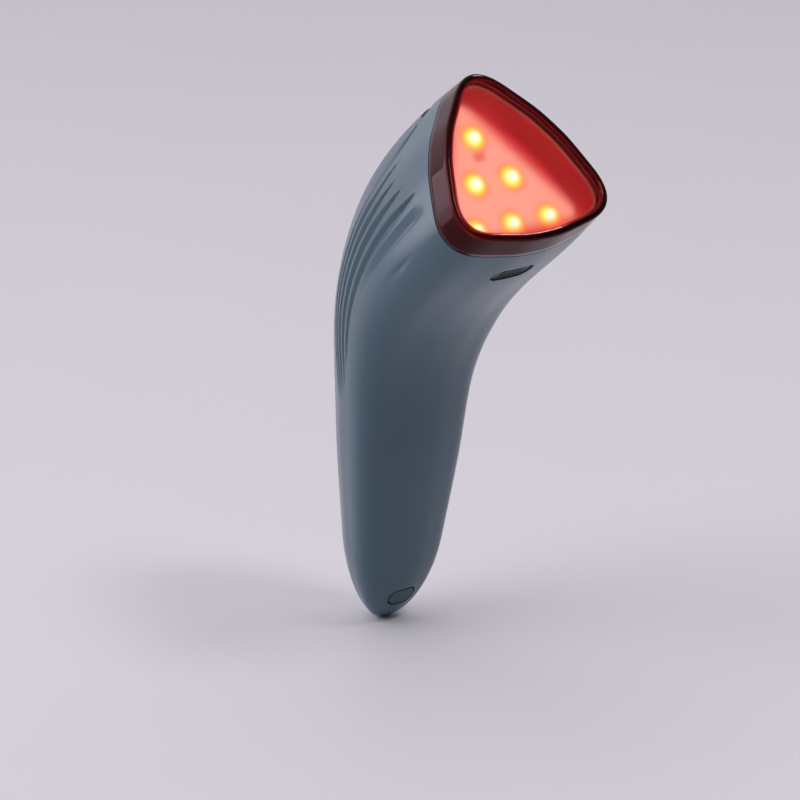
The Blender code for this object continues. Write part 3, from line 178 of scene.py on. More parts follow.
# %% The horn's sizes
LENGTH = 0.1923
HEAD_RADIUS = 0.0278
HEAD_RUN = 0.0285
BEND_END = 0.118
BEND_ANGLE = 45.7
FACE_ANGLE = 38.9
RADIUS_SHARES = ((0.0, 1.0), (0.12, 1.04), (0.25, 1.021), (0.4, 0.930), (0.55, 0.785), (0.7, 0.697),
                 (0.85, 0.578))
LOBE_SHARES = ((3, 0.138), (6, 0.035), (9, 0.009))
SOFT_SHARES = (0.6, 0.4, 1.5)
TIP_SHARE = 0.85
TIP_POWER = 2.12
WALL = 0.0022
FIT = 0.0003


def ease(share):
    """A smooth step from 0 to 1."""
    share = min(max(share, 0.0), 1.0)
    return share * share * (3.0 - 2.0 * share)


def lean(station):
    """How far the middle line leans at a station, in radians."""
    return math.radians(BEND_ANGLE) * ease((station - HEAD_RUN) / (BEND_END - HEAD_RUN))


def trace_spine(steps=400):
    """Points of the middle line as (along the face's back edge, along its normal)."""
    step = LENGTH / steps
    points = [Vector((0.0, 0.0))]
    for index in range(steps):
        angle = lean((index + 0.5) * step)
        points.append(points[-1] - step * Vector((math.sin(angle), math.cos(angle))))
    return points


SPINE = trace_spine()
print("middle line ends at", tuple(round(value, 4) for value in SPINE[-1]))

# %% [markdown]
# The face's frame turns with the head: X runs across the wand, Y up the face towards its upper
# corner, and Z out of the face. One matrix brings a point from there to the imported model's place.

# %% The horn's frames
def spine(station):
    """The middle line's point at a station, in the face's frame."""
    place = min(max(station / LENGTH, 0.0), 1.0) * (len(SPINE) - 1)
    index = min(int(place), len(SPINE) - 2)
    point = SPINE[index].lerp(SPINE[index + 1], place - index)
    point = point if station > 0.0 else Vector((0.0, -station))
    return Vector((0.0, point.x, point.y))


def turned(station):
    """The rotation of a station's frame against the face's frame."""
    return Matrix.Rotation(-lean(station), 3, "X")


UPRIGHT = Matrix.Rotation(math.radians(90.0 - FACE_ANGLE), 3, "X")
FACE = Matrix.Translation(-(UPRIGHT @ spine(BEND_END))) @ UPRIGHT.to_4x4()
TO_FACE = FACE.inverted()
print("face at", tuple(round(value, 4) for value in FACE.translation))

# %% [markdown]
# The section's mean radius follows a smooth curve through seven measured shares, swells a little
# behind the head and draws in to the rounded tail. Three waves round it make the soft corners.

# %% The horn's section
PLACES = [place for place, _ in RADIUS_SHARES]
RADII = [radius for _, radius in RADIUS_SHARES]


def slope_at(index):
    """The slope of the radius law at one of its own points, weighted as on an uneven ruler."""
    if index in (0, len(PLACES) - 1):
        first, last = (0, 1) if index == 0 else (-2, -1)
        return (RADII[last] - RADII[first]) / (PLACES[last] - PLACES[first])
    before, after = PLACES[index] - PLACES[index - 1], PLACES[index + 1] - PLACES[index]
    rise = before * before * RADII[index + 1] - after * after * RADII[index - 1]
    rise += (after * after - before * before) * RADII[index]
    return rise / (before * after * (before + after))


SLOPES = [slope_at(index) for index in range(len(PLACES))]


def mean_radius(station):
    """The section's mean radius."""
    share = min(max(station / LENGTH, 0.0), 1.0)
    beyond = max(share - TIP_SHARE, 0.0)
    share -= beyond
    index = sum(1 for place in PLACES[1:-1] if share >= place)
    span = PLACES[index + 1] - PLACES[index]
    t = (share - PLACES[index]) / span
    value = (2 * t ** 3 - 3 * t ** 2 + 1) * RADII[index] + (3 * t ** 2 - 2 * t ** 3) * RADII[index + 1]
    value += (t ** 3 - 2 * t ** 2 + t) * span * SLOPES[index] + (t ** 3 - t ** 2) * span * SLOPES[index + 1]
    return HEAD_RADIUS * (value + beyond * SLOPES[-1])


def tip_scale(station, inset):
    """How much the rounded tail end draws the section in."""
    start = TIP_SHARE * LENGTH
    share = (station - start) / (LENGTH - inset - start)
    return 1.0 if share <= 0.0 else max(1.0 - share ** TIP_POWER, 0.0) ** (1.0 / TIP_POWER)


def section(station, angle, inset=0.0):
    """A point of the section (across, towards the back), moved inwards by the inset."""
    base, fade, reach = SOFT_SHARES
    soft = base + fade * math.exp(-(station / LENGTH / reach) ** 2)
    mean = tip_scale(station, inset) * mean_radius(station)
    radius = mean * (1.0 + sum(soft * share * math.cos(count * angle) for count, share in LOBE_SHARES))
    slope = -mean * sum(soft * share * count * math.sin(count * angle) for count, share in LOBE_SHARES)
    point = Vector((radius * math.sin(angle), radius * math.cos(angle)))
    normal = Vector((point.x - slope * math.cos(angle), point.y + slope * math.sin(angle)))
    return point - inset * min(1.0, 2.0 * tip_scale(station, inset)) * normal.normalized()


def place_on_horn(station, angle, inset=0.0):
    """A point on the horn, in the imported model's frame."""
    across, back = section(station, angle, inset)
    return FACE @ (spine(station) + turned(station) @ Vector((across, back, 0.0)))


print("head", round(2000 * mean_radius(0.0), 1), "mm wide on average")

# %% [markdown]
# Every shell here starts as a flat grid, like a sheet of paper, that is wrapped round the horn ring
# by ring. The seam is welded, the open ends are filled, and the faces are turned outwards. A
# cylinder could start it too, but a grid has rows and columns that are easy to place.

# %% A sheet wrapped round rings
def edit(piece):
    """Makes a piece the only selected one and opens it."""
    bpy.ops.object.select_all(action="DESELECT")
    bpy.context.view_layer.objects.active = piece
    piece.select_set(True)
    bpy.ops.object.mode_set(mode="EDIT")
    bpy.ops.mesh.select_all(action="SELECT")


def close():
    """Turns the faces outwards and leaves the piece."""
    bpy.ops.mesh.select_all(action="SELECT")
    bpy.ops.mesh.normals_make_consistent(inside=False)
    bpy.ops.object.mode_set(mode="OBJECT")


def wrap(name, rings):
    """A closed shell through rings of equal counts."""
    sides = len(rings[0])
    bpy.ops.object.select_all(action="DESELECT")
    bpy.ops.mesh.primitive_grid_add(x_subdivisions=sides, y_subdivisions=len(rings) - 1, size=1.0)
    piece = bpy.context.object
    piece.name = name
    for vertex in piece.data.vertices:
        row, column = divmod(vertex.index, sides + 1)
        vertex.co = rings[row][column % sides]
    edit(piece)
    bpy.ops.mesh.remove_doubles(threshold=0.000002)
    bpy.ops.mesh.fill_holes(sides=0)
    close()
    return piece


def cut(piece, tool, operation="DIFFERENCE"):
    """Cuts a piece with a tool piece, or joins them, and takes the tool away."""
    bpy.context.view_layer.objects.active = piece
    modifier = piece.modifiers.new(tool.name, "BOOLEAN")
    modifier.object = tool
    modifier.operation = operation
    modifier.solver = "EXACT"
    bpy.ops.object.modifier_apply(modifier=modifier.name)
    bpy.data.objects.remove(tool)
    return piece


def smooth(piece, degrees=40.0):
    """Shades a piece smooth but keeps its sharper edges."""
    bpy.ops.object.select_all(action="DESELECT")
    bpy.context.view_layer.objects.active = piece
    piece.select_set(True)
    bpy.ops.object.shade_smooth_by_angle(angle=math.radians(degrees))
    return piece


print("wrapping needs equal rings")

# %% [markdown]
# Seven flutes run down each flank. They start in points below the cap, run round the thumb side and
# fade at different places. They could be cut with seven tools, but the same law that places the
# housing's points can sink them by the flute's depth, which gives rounded ribs and narrow grooves.

# %% Flutes
FLUTE_COUNT = 7
FLUTE_DEPTH = 0.0013
FLUTE_START = 0.015
FLUTE_END = 0.115
FLUTE_RISE = 0.008
FLUTE_FADE = 0.018
FLUTE_FIRST_ANGLES = (12.0, 80.0)
FLUTE_SPAN_ANGLES = (98.0, 34.0)
FLUTE_START_SHARES = (0.05, 0.14, 0.15, 0.10, 0.02, 0.0, 0.11)
FLUTE_END_SHARES = (1.0, 1.0, 0.98, 0.94, 0.86, 0.50, 0.34)
FLUTE_STEPS = 20
FLUTE_POINT = 0.020
FLUTE_POINT_SHARES = (0.2, 0.2, 0.2, 0.2, 0.2, 1.0, 0.4)
FLUTE_BACK_SHARES = (0.30, 0.30, 0.30, 0.30, 0.30, 0.50, 0.20)
FLUTE_FRONT_SHARES = (0.40, 0.40, 0.40, 0.40, 0.36, 0.18, 0.36)
FLUTE_SINK_SHARES = (1.2, 1.2, 1.2, 1.2, 1.2, 1.0, 0.5)


def flute_angles(station):
    """The angle of the first flute and the step to the next one, in degrees."""
    share = min(max((station - FLUTE_START) / (FLUTE_END - FLUTE_START), 0.0), 1.0)
    first = FLUTE_FIRST_ANGLES[0] + share * (FLUTE_FIRST_ANGLES[1] - FLUTE_FIRST_ANGLES[0])
    span = FLUTE_SPAN_ANGLES[0] + share * (FLUTE_SPAN_ANGLES[1] - FLUTE_SPAN_ANGLES[0])
    return first, span / (FLUTE_COUNT - 1)


def flute_depth(station, index):
    """How deep one flute is at a station: it runs in and out, and is shallower where flutes are closer."""
    run = FLUTE_END - FLUTE_START
    start = FLUTE_START + FLUTE_START_SHARES[index] * run
    end = FLUTE_START + FLUTE_END_SHARES[index] * run
    depth = FLUTE_DEPTH * flute_angles(station)[1] / flute_angles(FLUTE_START)[1]
    return depth * ease((station - start) / FLUTE_RISE) * ease((end - station) / FLUTE_FADE)


def flute_width(station, index):
    """How wide one flute is at a station, as a share of its full width: it starts as a point."""
    start = FLUTE_START + FLUTE_START_SHARES[index] * (FLUTE_END - FLUTE_START)
    point = FLUTE_POINT_SHARES[index]
    return point + (1.0 - point) * ease((station - start) / FLUTE_POINT)


def fluted_ring(station, back_steps=14, front_steps=24):
    """One ring of the fluted outer surface."""
    first, step = flute_angles(station)
    edge = first - step / 2
    half = [(edge * index / back_steps, 0.0) for index in range(back_steps)]
    for index in range(FLUTE_COUNT * FLUTE_STEPS):
        flute, share = divmod(index, FLUTE_STEPS)
        away = share / FLUTE_STEPS - 0.5
        side = FLUTE_BACK_SHARES if away < 0.0 else FLUTE_FRONT_SHARES
        away = abs(away) / (side[flute] * flute_width(station, flute))
        groove = min(1.0, 1.2 * max(1.0 - away, 0.0))
        depth = groove * FLUTE_SINK_SHARES[flute] * flute_depth(station, flute)
        half.append((edge + step * index / FLUTE_STEPS, depth))
    edge += step * FLUTE_COUNT
    half += [(edge + (180.0 - edge) * index / front_steps, 0.0) for index in range(front_steps + 1)]
    both = half + [(-angle, depth) for angle, depth in reversed(half[1:-1])]
    return [place_on_horn(station, math.radians(angle), depth) for angle, depth in both]


def plain_ring(station, inset, sides=64):
    """One smooth ring of the horn."""
    return [place_on_horn(station, math.tau * index / sides, inset) for index in range(sides)]


def stations(start, end, step):
    """Evenly spread stations, both ends included."""
    count = max(1, round((end - start) / step))
    return [start + (end - start) * index / count for index in range(count + 1)]


def tip_stations(inset, count=18):
    """Stations over the rounded tail, closer together towards its end."""
    start = TIP_SHARE * LENGTH
    reach = LENGTH - inset - start
    return [start + reach * math.sin(math.pi / 2 * index / count) for index in range(1, count)]


print("flute pitch at the head", round(flute_angles(FLUTE_START)[1], 1), "degrees")

# %% [markdown]
# The housing is moulded in one piece, 2.2 mm thick. It is made here as a fluted outer horn less a
# smooth inner one, and then the vents, the button, the light and the port are cut through it.

# %% Housing
CAP_DEPTH = 0.0103
rows = stations(CAP_DEPTH + FIT, TIP_SHARE * LENGTH, 0.0012)
housing = wrap("housing", [fluted_ring(station) for station in rows + tip_stations(0.0)])
rows = [CAP_DEPTH - 0.004] + stations(CAP_DEPTH + FIT, TIP_SHARE * LENGTH, 0.004)
hollow = wrap("hollow", [plain_ring(station, WALL) for station in rows + tip_stations(WALL, 8)[:-2]])
cut(housing, hollow)
print("housing faces", len(housing.data.polygons))

# %% [markdown]
# Each opening is cut along its own frame on the horn. A slot is a round sheet that is pulled apart
# at its middle, then extruded: that is how a slot is milled, too. The port's pocket is a hair wider
# than its cover, so that the open cover's ends stay clear of the wall.

# %% Opening cutters
VENT_SIZE = (0.0165, 0.0066)
FRONT_VENT_STATION = 0.0234
REAR_VENT_STATION = 0.0208
BUTTON_STATION = 0.070
CHASSIS_RISE = 0.0072
BUTTON_SIZE = (0.011, 0.016)
PIPE_RADIUS = 0.001
PIPE_PLACE = 0.013
PORT_STATION = 0.182
PORT_TILT_ANGLE = 23.0
PORT_SIZE = (0.0108, 0.0068)
PORT_EASE = 0.00012
PORT_GAP = 0.0004
COVER_THICK = 0.0012
SOCKET_SIZE = (0.0096, 0.0039)
PORT_REACH = 0.0075
POCKET_RUN = 0.03


def frame_at(point, angle):
    """A frame at a point of the face's frame, turned about the wand's cross axis."""
    return FACE @ Matrix.Translation(point) @ Matrix.Rotation(angle, 4, "X")


def slot(name, at, width, height, bottom, top, sides=40):
    """A long round-ended tool that stands along a frame's Z."""
    bpy.ops.object.select_all(action="DESELECT")
    bpy.ops.mesh.primitive_circle_add(vertices=sides, radius=height / 2, fill_type="NGON",
                                      location=(0.0, 0.0, bottom), rotation=(0.0, 0.0, math.pi / sides))
    tool = bpy.context.object
    tool.name = name
    bpy.ops.object.transform_apply(location=True, rotation=True, scale=True)
    for vertex in tool.data.vertices:
        vertex.co.x += math.copysign((width - height) / 2, vertex.co.x)
    edit(tool)
    bpy.ops.mesh.extrude_region_move(TRANSFORM_OT_translate={"value": (0.0, 0.0, top - bottom)})
    close()
    tool.data.transform(at)
    return tool


BUTTON_POINT = spine(BUTTON_STATION) + turned(BUTTON_STATION) @ Vector((0.0, CHASSIS_RISE, 0.0))
BUTTON_FRAME = frame_at(BUTTON_POINT, -lean(BUTTON_STATION) - math.pi / 2)
FRONT_VENT = frame_at(spine(FRONT_VENT_STATION), math.pi / 2 - lean(FRONT_VENT_STATION))
REAR_VENT = frame_at(spine(REAR_VENT_STATION), -math.pi / 2 - lean(REAR_VENT_STATION))
PORT_POINT = TO_FACE @ place_on_horn(PORT_STATION, math.pi)
PORT_FRAME = frame_at(PORT_POINT, math.pi / 2 + math.radians(PORT_TILT_ANGLE) - lean(PORT_STATION))
THROUGH = (HEAD_RADIUS / 2, 2 * HEAD_RADIUS)
for name, at in (("front_vent_cut", FRONT_VENT), ("rear_vent_cut", REAR_VENT)):
    cut(housing, slot(name, at, *VENT_SIZE, *THROUGH))
print("housing faces with its vents", len(housing.data.polygons))

# %% Button, light and port openings
def oval(name, at, width, length, bottom, top, sides=48):
    """An oval tool that stands along a frame's Z."""
    tool = slot(name, Matrix.Diagonal((width / length, 1.0, 1.0, 1.0)), length, length, bottom, top, sides)
    tool.data.transform(at)
    return tool


width, length = BUTTON_SIZE
cut(housing, oval("button_cut", BUTTON_FRAME, width + 2 * FIT, length + 2 * FIT, *THROUGH))
pipe_frame = BUTTON_FRAME @ Matrix.Translation((0.0, PIPE_PLACE, 0.0))
pipe_width = 2 * (PIPE_RADIUS + FIT)
cut(housing, oval("light_cut", pipe_frame, pipe_width, pipe_width, *THROUGH, 24))
width, height = (size + 2 * PORT_EASE for size in PORT_SIZE)
pocket = slot("port_cut", PORT_FRAME, width, height, -PORT_REACH, PORT_REACH)
depth = COVER_THICK + PORT_GAP
rows = stations(PORT_STATION - POCKET_RUN, TIP_SHARE * LENGTH, 0.004) + tip_stations(depth)
cut(pocket, wrap("pocket_floor", [plain_ring(station, depth) for station in rows]))
cut(housing, pocket)
cut(housing, slot("socket_cut", PORT_FRAME, *SOCKET_SIZE, -PORT_REACH, 0.0))
smooth(housing)
print("housing faces with every opening", len(housing.data.polygons))

# %% [markdown]
# Most finishes here are moulded plastic. One helper makes them all from a few numbers: two close
# colours that a soft noise mixes, a roughness that wanders a little, and a fine bump for the mould's
# grain. The noise reads Object coordinates, so it stays with the piece when the piece moves.

# %% A finish from a few numbers
def finish(name, colour, second, scale, rough, bump=0.0, metallic=0.0):
    """A procedural finish: mottled colour, wandering roughness and a fine bump."""
    material = bpy.data.materials.new(name)
    material.use_nodes = True
    tree = material.node_tree
    shader = tree.nodes["Principled BSDF"]
    shader.inputs["Metallic"].default_value = metallic
    place = tree.nodes.new("ShaderNodeTexCoord")
    noise = tree.nodes.new("ShaderNodeTexNoise")
    noise.inputs["Scale"].default_value = scale
    noise.inputs["Detail"].default_value = 4.0
    ramp = tree.nodes.new("ShaderNodeValToRGB")
    ramp.color_ramp.elements[0].position = 0.3
    ramp.color_ramp.elements[0].color = (*colour, 1.0)
    ramp.color_ramp.elements[1].position = 0.7
    ramp.color_ramp.elements[1].color = (*second, 1.0)
    level = tree.nodes.new("ShaderNodeMapRange")
    level.inputs["To Min"].default_value = rough[0]
    level.inputs["To Max"].default_value = rough[1]
    tree.links.new(place.outputs["Object"], noise.inputs["Vector"])
    tree.links.new(noise.outputs["Fac"], ramp.inputs["Fac"])
    tree.links.new(ramp.outputs["Color"], shader.inputs["Base Color"])
    tree.links.new(noise.outputs["Fac"], level.inputs["Value"])
    tree.links.new(level.outputs["Result"], shader.inputs["Roughness"])
    if bump > 0.0:
        grain = tree.nodes.new("ShaderNodeTexNoise")
        grain.inputs["Scale"].default_value = 2600.0
        grain.inputs["Detail"].default_value = 2.0
        relief = tree.nodes.new("ShaderNodeBump")
        relief.inputs["Strength"].default_value = bump
        relief.inputs["Distance"].default_value = 0.00004
        tree.links.new(place.outputs["Object"], grain.inputs["Vector"])
        tree.links.new(grain.outputs["Fac"], relief.inputs["Height"])
        tree.links.new(relief.outputs["Normal"], shader.inputs["Normal"])
    return material


def dress(piece, material, body="handle", stands_for=()):
    """Gives a new piece its material, its body and the nodes that it stands for."""
    piece.data.materials.clear()
    piece.data.materials.append(material)
    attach(piece, body)
    if stands_for:
        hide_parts(*stands_for)
    return piece


slate = finish("slate_plastic_finish", (0.062, 0.119, 0.162), (0.064, 0.122, 0.166), 40.0,
               (0.25, 0.275), 0.25)
dress(housing, slate, "handle", ("handle_shell",))
print("finishes", [material.name for material in bpy.data.materials][-1])

# %% [markdown]
# The cap is one deep red glossy moulding: a thin window, a rounded rim and a deep skirt with a
# tongue that plugs into the housing. Its profile is drawn as pairs of depth and inset and wrapped
# round the same law. Each point also notes how much clear window it is, for the material.

# %% Lens cap
CAP_BEAD = 0.0013
CAP_RECESS = 0.0005
CAP_EDGE = 0.0009
CAP_WALL = 0.0022
CAP_WINDOW = 0.002
TONGUE_ROOT = 0.0029
TONGUE_DEPTH = 0.0029
TONGUE_WALL = 0.0008
SKIRT_BREAK = 0.00015


def face_rings(profile, window_shares=(), sides=192):
    """Rings for a profile, with flat rings that shrink towards the middle at its two ends."""
    rings = [plain_ring(depth, inset, sides) for depth, inset in profile]
    for share in window_shares:  # each end gets flat rings of its own
        for index, end in ((0, 0), (-1, len(rings))):
            depth = profile[index][0]
            centre = FACE @ Vector((0.0, 0.0, -depth))
            edge = plain_ring(*profile[index], sides)
            flat = [centre + share * (point - centre) for point in edge]
            rings.insert(end if index == 0 else len(rings), flat)
    return rings


tongue = WALL + FIT
window_rings = [(CAP_RECESS, inset) for inset in (0.0040, 0.0034, 0.0030)]
turns = [math.radians(90.0 * index / 7) for index in range(8)]
bead = [(CAP_RECESS * (1.0 - math.sin(turn)), CAP_BEAD * (1.0 + math.cos(turn))) for turn in turns]
bead += [(CAP_EDGE * (1.0 - math.cos(turn)), CAP_BEAD * (1.0 - math.sin(turn))) for turn in turns[1:]]
outside = window_rings + bead
outside += [(depth, 0.0) for depth in stations(CAP_EDGE, CAP_DEPTH - SKIRT_BREAK, 0.0015)[1:]]
outside += [(CAP_DEPTH, SKIRT_BREAK), (CAP_DEPTH, tongue), (CAP_DEPTH + TONGUE_DEPTH, tongue)]
inside = [(CAP_DEPTH + TONGUE_DEPTH, tongue + TONGUE_WALL)]
inside += [(CAP_DEPTH - 0.38 * TONGUE_ROOT, tongue + TONGUE_WALL)]
inside += [(depth, CAP_WALL) for depth in stations(CAP_DEPTH - TONGUE_ROOT, CAP_WINDOW + 0.0003, 0.0015)]
inside += [(CAP_WINDOW, inset) for inset in (0.0025, 0.0028, 0.0032, 0.0040)]
cap = wrap("red_cap", face_rings(outside + inside, (0.8, 0.5, 0.2)))
smooth(cap, 50.0)
print("cap faces", len(cap.data.polygons))

# %% [markdown]
# Inside the cap stands a bright funnel from the light board to just below the window. From outside
# its upper rim is the crisp line, a painted highlight, and its wall the crimson band, a painted glow.
# It is wrapped as a closed loop of rings, so its seam in the middle of the wall is welded as well.

# %% Light well
WELL_TOP = 0.0043
WELL_TOP_INSET = 0.0026
WELL_SLOPE = 0.002
WELL_WALL = 0.0009
BOARD_FRONT = 0.0137
bottom = BOARD_FRONT - FIT
steps = [0.0, 0.02] + [index / 6 for index in range(1, 7)]
inner_wall = [(WELL_TOP + share * (bottom - WELL_TOP), WELL_TOP_INSET + share * WELL_SLOPE)
              for share in steps]
outer_wall = [(depth, inset + WELL_WALL) for depth, inset in reversed(inner_wall)]
profile = inner_wall + outer_wall + inner_wall[:1]
well = wrap("bright_well", [plain_ring(depth, inset, 192) for depth, inset in profile])
RIM_HIGHLIGHT = "rim"
HAIR = 0.0001
# The points on the well's top are noted for a painted highlight line.
rim_highlight_mark = well.data.attributes.new(RIM_HIGHLIGHT, "FLOAT", "POINT")
for vertex in well.data.vertices:
    rim_highlight_mark.data[vertex.index].value = 1.0 if -(TO_FACE @ vertex.co).z < WELL_TOP + HAIR else 0.0
smooth(well, 50.0)
print("well faces", len(well.data.polygons))

# %% [markdown]
# Deep red clear plastic looks red where it is thin and almost black where light has to travel far in
# it. The window is thin; the rim and the skirt are looked at edge on. So one material runs from a
# clear red over the window to a near-black red outside it, by how far a point lies from the edge.
# The window is smooth in front and frosted on its back, which blurs what lies behind it.

# %% Red clear plastic
SHADE = "window"
FROST = "frost"
BACK_DEPTHS = (0.0016, 0.0024)


def note_window(piece, reach=0.004):
    """Stores how far inside the window's edge each point lies, and which points are on its back."""
    window = piece.data.attributes.new(SHADE, "FLOAT", "POINT")
    frost = piece.data.attributes.new(FROST, "FLOAT", "POINT")
    for vertex in piece.data.vertices:
        point = TO_FACE @ vertex.co
        depth = -point.z
        angle = math.atan2(point.x, point.y)
        edge = section(min(depth, CAP_DEPTH), angle).length
        inset = edge - Vector((point.x, point.y)).length
        share = min(max(inset / reach, 0.0), 1.0)
        window.data[vertex.index].value = share if depth < BACK_DEPTHS[1] else 0.0
        behind = BACK_DEPTHS[0] < depth < BACK_DEPTHS[1]
        frost.data[vertex.index].value = 1.0 if behind and share > 0.5 else 0.0


def by_attribute(tree, name, low, high, least, most):
    """A number that follows a stored attribute."""
    stored = tree.nodes.new("ShaderNodeAttribute")
    stored.attribute_name = name
    level = tree.nodes.new("ShaderNodeMapRange")
    level.inputs["From Min"].default_value = low
    level.inputs["From Max"].default_value = high
    level.inputs["To Min"].default_value = least
    level.inputs["To Max"].default_value = most
    tree.links.new(stored.outputs["Fac"], level.inputs["Value"])
    return level.outputs["Result"]


note_window(cap)
red = bpy.data.materials.new("red_cap_finish")
red.use_nodes = True
tree = red.node_tree
shader = tree.nodes["Principled BSDF"]
shader.inputs["IOR"].default_value = 1.3
shader.inputs["Specular IOR Level"].default_value = 0.22
shader.inputs["Specular Tint"].default_value = (1.0, 0.35, 0.35, 1.0)
share = tree.nodes.new("ShaderNodeAttribute")
share.attribute_name = SHADE
tint = tree.nodes.new("ShaderNodeValToRGB")
tint.color_ramp.elements[0].position = 0.0
tint.color_ramp.elements[0].color = (0.060, 0.006, 0.008, 1.0)
tint.color_ramp.elements[1].position = 0.66
tint.color_ramp.elements[1].color = (1.0, 0.30, 0.27, 1.0)
for position, colour in ((0.12, (0.034, 0.003, 0.004)), (0.24, (0.012, 0.001, 0.001)),
                         (0.42, (0.016, 0.001, 0.001)), (0.56, (0.20, 0.003, 0.004))):
    tint.color_ramp.elements.new(position).color = (*colour, 1.0)
tree.links.new(share.outputs["Fac"], tint.inputs["Fac"])
tree.links.new(tint.outputs["Color"], shader.inputs["Base Color"])
tree.links.new(by_attribute(tree, SHADE, 0.1, 0.5, 0.4, 1.0), shader.inputs["Transmission Weight"])
tree.links.new(by_attribute(tree, FROST, 0.0, 1.0, 0.04, 0.34), shader.inputs["Roughness"])
dress(cap, red, "handle", ("lens_cap",))
print("cap finish reads the attributes", SHADE, FROST)

# %% [markdown]
# Behind the window everything glows. Each light is a small dome on a pale board; its beam spreads in
# the plastic and tints the board round it yellow, then orange, then pink. Real scattering would take
# far too long to trace, so the board, the lights, the sensor and the well get finishes with a painted
# glow by the distance to the nearest light.

# %% Glow of the lights
LED_TOP_ROW = 0.608 * HEAD_RADIUS
LED_ROW_PITCH = 0.547 * HEAD_RADIUS
LED_PITCH = 0.523 * HEAD_RADIUS
led_spots = [((across - row / 2) * LED_PITCH, LED_TOP_ROW - row * LED_ROW_PITCH)
             for row in range(3) for across in range(row + 1)]


def least_of(tree, first, second, operation="MINIMUM"):
    """The smaller of two numbers, or the larger one."""
    if first is None:
        return second
    node = tree.nodes.new("ShaderNodeMath")
    node.operation = operation
    tree.links.new(first, node.inputs[0])
    tree.links.new(second, node.inputs[1])
    return node.outputs["Value"]


def edge_shade(tree, place, start, end):
    """How far a place is into the painted shade along the three sides of the face, from 0 to 1."""
    farthest = None
    for side in (60.0, 180.0, 300.0):
        outward = FACE.to_3x3() @ Vector((math.sin(math.radians(side)), math.cos(math.radians(side)), 0.0))
        reach = tree.nodes.new("ShaderNodeVectorMath")
        reach.operation = "DOT_PRODUCT"
        reach.inputs[1].default_value = outward
        tree.links.new(place, reach.inputs[0])
        level = tree.nodes.new("ShaderNodeMapRange")
        level.interpolation_type = "SMOOTHSTEP"
        level.inputs["From Min"].default_value = start + outward.dot(FACE.translation)
        level.inputs["From Max"].default_value = end + outward.dot(FACE.translation)
        tree.links.new(reach.outputs["Value"], level.inputs["Value"])
        farthest = least_of(tree, farthest, level.outputs["Result"], "MAXIMUM")
    return farthest


def nearest_light(tree, place):
    """How far a place is from the nearest light."""
    nearest = None
    for across, up in led_spots:
        away = tree.nodes.new("ShaderNodeVectorMath")
        away.operation = "DISTANCE"
        away.inputs[1].default_value = FACE @ Vector((across, up, -BOARD_FRONT + LAMP_RISE))
        tree.links.new(place, away.inputs[0])
        nearest = least_of(tree, nearest, away.outputs["Value"])
    return nearest


def glowing(name, base, stops, strengths, reach, rough=0.5, rim=None):
    """A finish that glows by the distance to the nearest light, from far to near."""
    material = bpy.data.materials.new(name)
    material.use_nodes = True
    tree = material.node_tree
    shader = tree.nodes["Principled BSDF"]
    shader.inputs["Base Color"].default_value = (*base, 1.0)
    shader.inputs["Roughness"].default_value = rough
    place = tree.nodes.new("ShaderNodeTexCoord")
    nearest = nearest_light(tree, place.outputs["Object"])
    glow = tree.nodes.new("ShaderNodeMapRange")
    glow.inputs["From Min"].default_value = reach
    glow.inputs["From Max"].default_value = 0.0
    ramp = tree.nodes.new("ShaderNodeValToRGB")
    while len(ramp.color_ramp.elements) < len(stops):
        ramp.color_ramp.elements.new(0.5)
    for element, (position, colour) in zip(ramp.color_ramp.elements, stops):
        element.position = position
        element.color = (*colour, 1.0)
    power = tree.nodes.new("ShaderNodeFloatCurve")
    curve = power.mapping.curves[0]
    while len(curve.points) < len(strengths):
        curve.points.new(0.5, 0.5)
    for point, (position, level) in zip(curve.points, strengths):
        point.location = (position, level / LAMP_LEVEL)
    power.mapping.update()
    scale = tree.nodes.new("ShaderNodeMath")
    scale.operation = "MULTIPLY"
    scale.inputs[1].default_value = LAMP_LEVEL
    tree.links.new(nearest, glow.inputs["Value"])
    tree.links.new(glow.outputs["Result"], ramp.inputs["Fac"])
    tree.links.new(glow.outputs["Result"], power.inputs["Value"])
    tree.links.new(power.outputs["Value"], scale.inputs[0])
    colour = ramp.outputs["Color"]
    # A painted edge tone can be mixed into the glow: painted shade along the board's sides, a painted
    # highlight on the well's rim.
    if rim is not None:
        share, painted_edge_tone = rim(tree, place.outputs["Object"])
        mix = tree.nodes.new("ShaderNodeMix")
        mix.data_type = "RGBA"
        mix.inputs["B"].default_value = (*painted_edge_tone, 1.0)
        tree.links.new(share, mix.inputs["Factor"])
        tree.links.new(colour, mix.inputs["A"])
        colour = mix.outputs["Result"]
    tree.links.new(colour, shader.inputs["Emission Color"])
    tree.links.new(scale.outputs["Value"], shader.inputs["Emission Strength"])
    return material


LAMP_LEVEL = 6.0
LAMP_RISE = 0.0010
REACH = 0.0064
MILLIMETRE = 0.001
EDGE_SHADE_BAND = (0.0125, 0.0185)
PINK = (0.82, 1.0, 0.84)
EDGE_SHADE_RED = (0.46, 0.04, 0.075)
halo = [(6.4, PINK, 1.22), (5.6, PINK, 1.15), (4.9, (1.0, 0.74, 0.60), 1.1), (4.3, (0.85, 0.66, 0.13), 1.4),
        (3.6, (0.58, 0.95, 0.06), 2.0), (2.8, (0.46, 1.0, 0.06), 2.9), (1.9, (0.45, 1.0, 0.28), 3.8),
        (1.1, (0.9, 1.0, 0.9), 4.8)]
board_stops = [(1.0 - away * MILLIMETRE / REACH, colour) for away, colour, _ in halo]
board_levels = [(1.0 - away * MILLIMETRE / REACH, level) for away, _, level in halo]
# Along the face's three sides the board's glow turns to a dim crimson: painted shade.
board_glow = glowing("light_board_finish", (0.25, 0.16, 0.16), board_stops, board_levels, REACH,
                     rim=lambda tree, place: (edge_shade(tree, place, *EDGE_SHADE_BAND), EDGE_SHADE_RED))
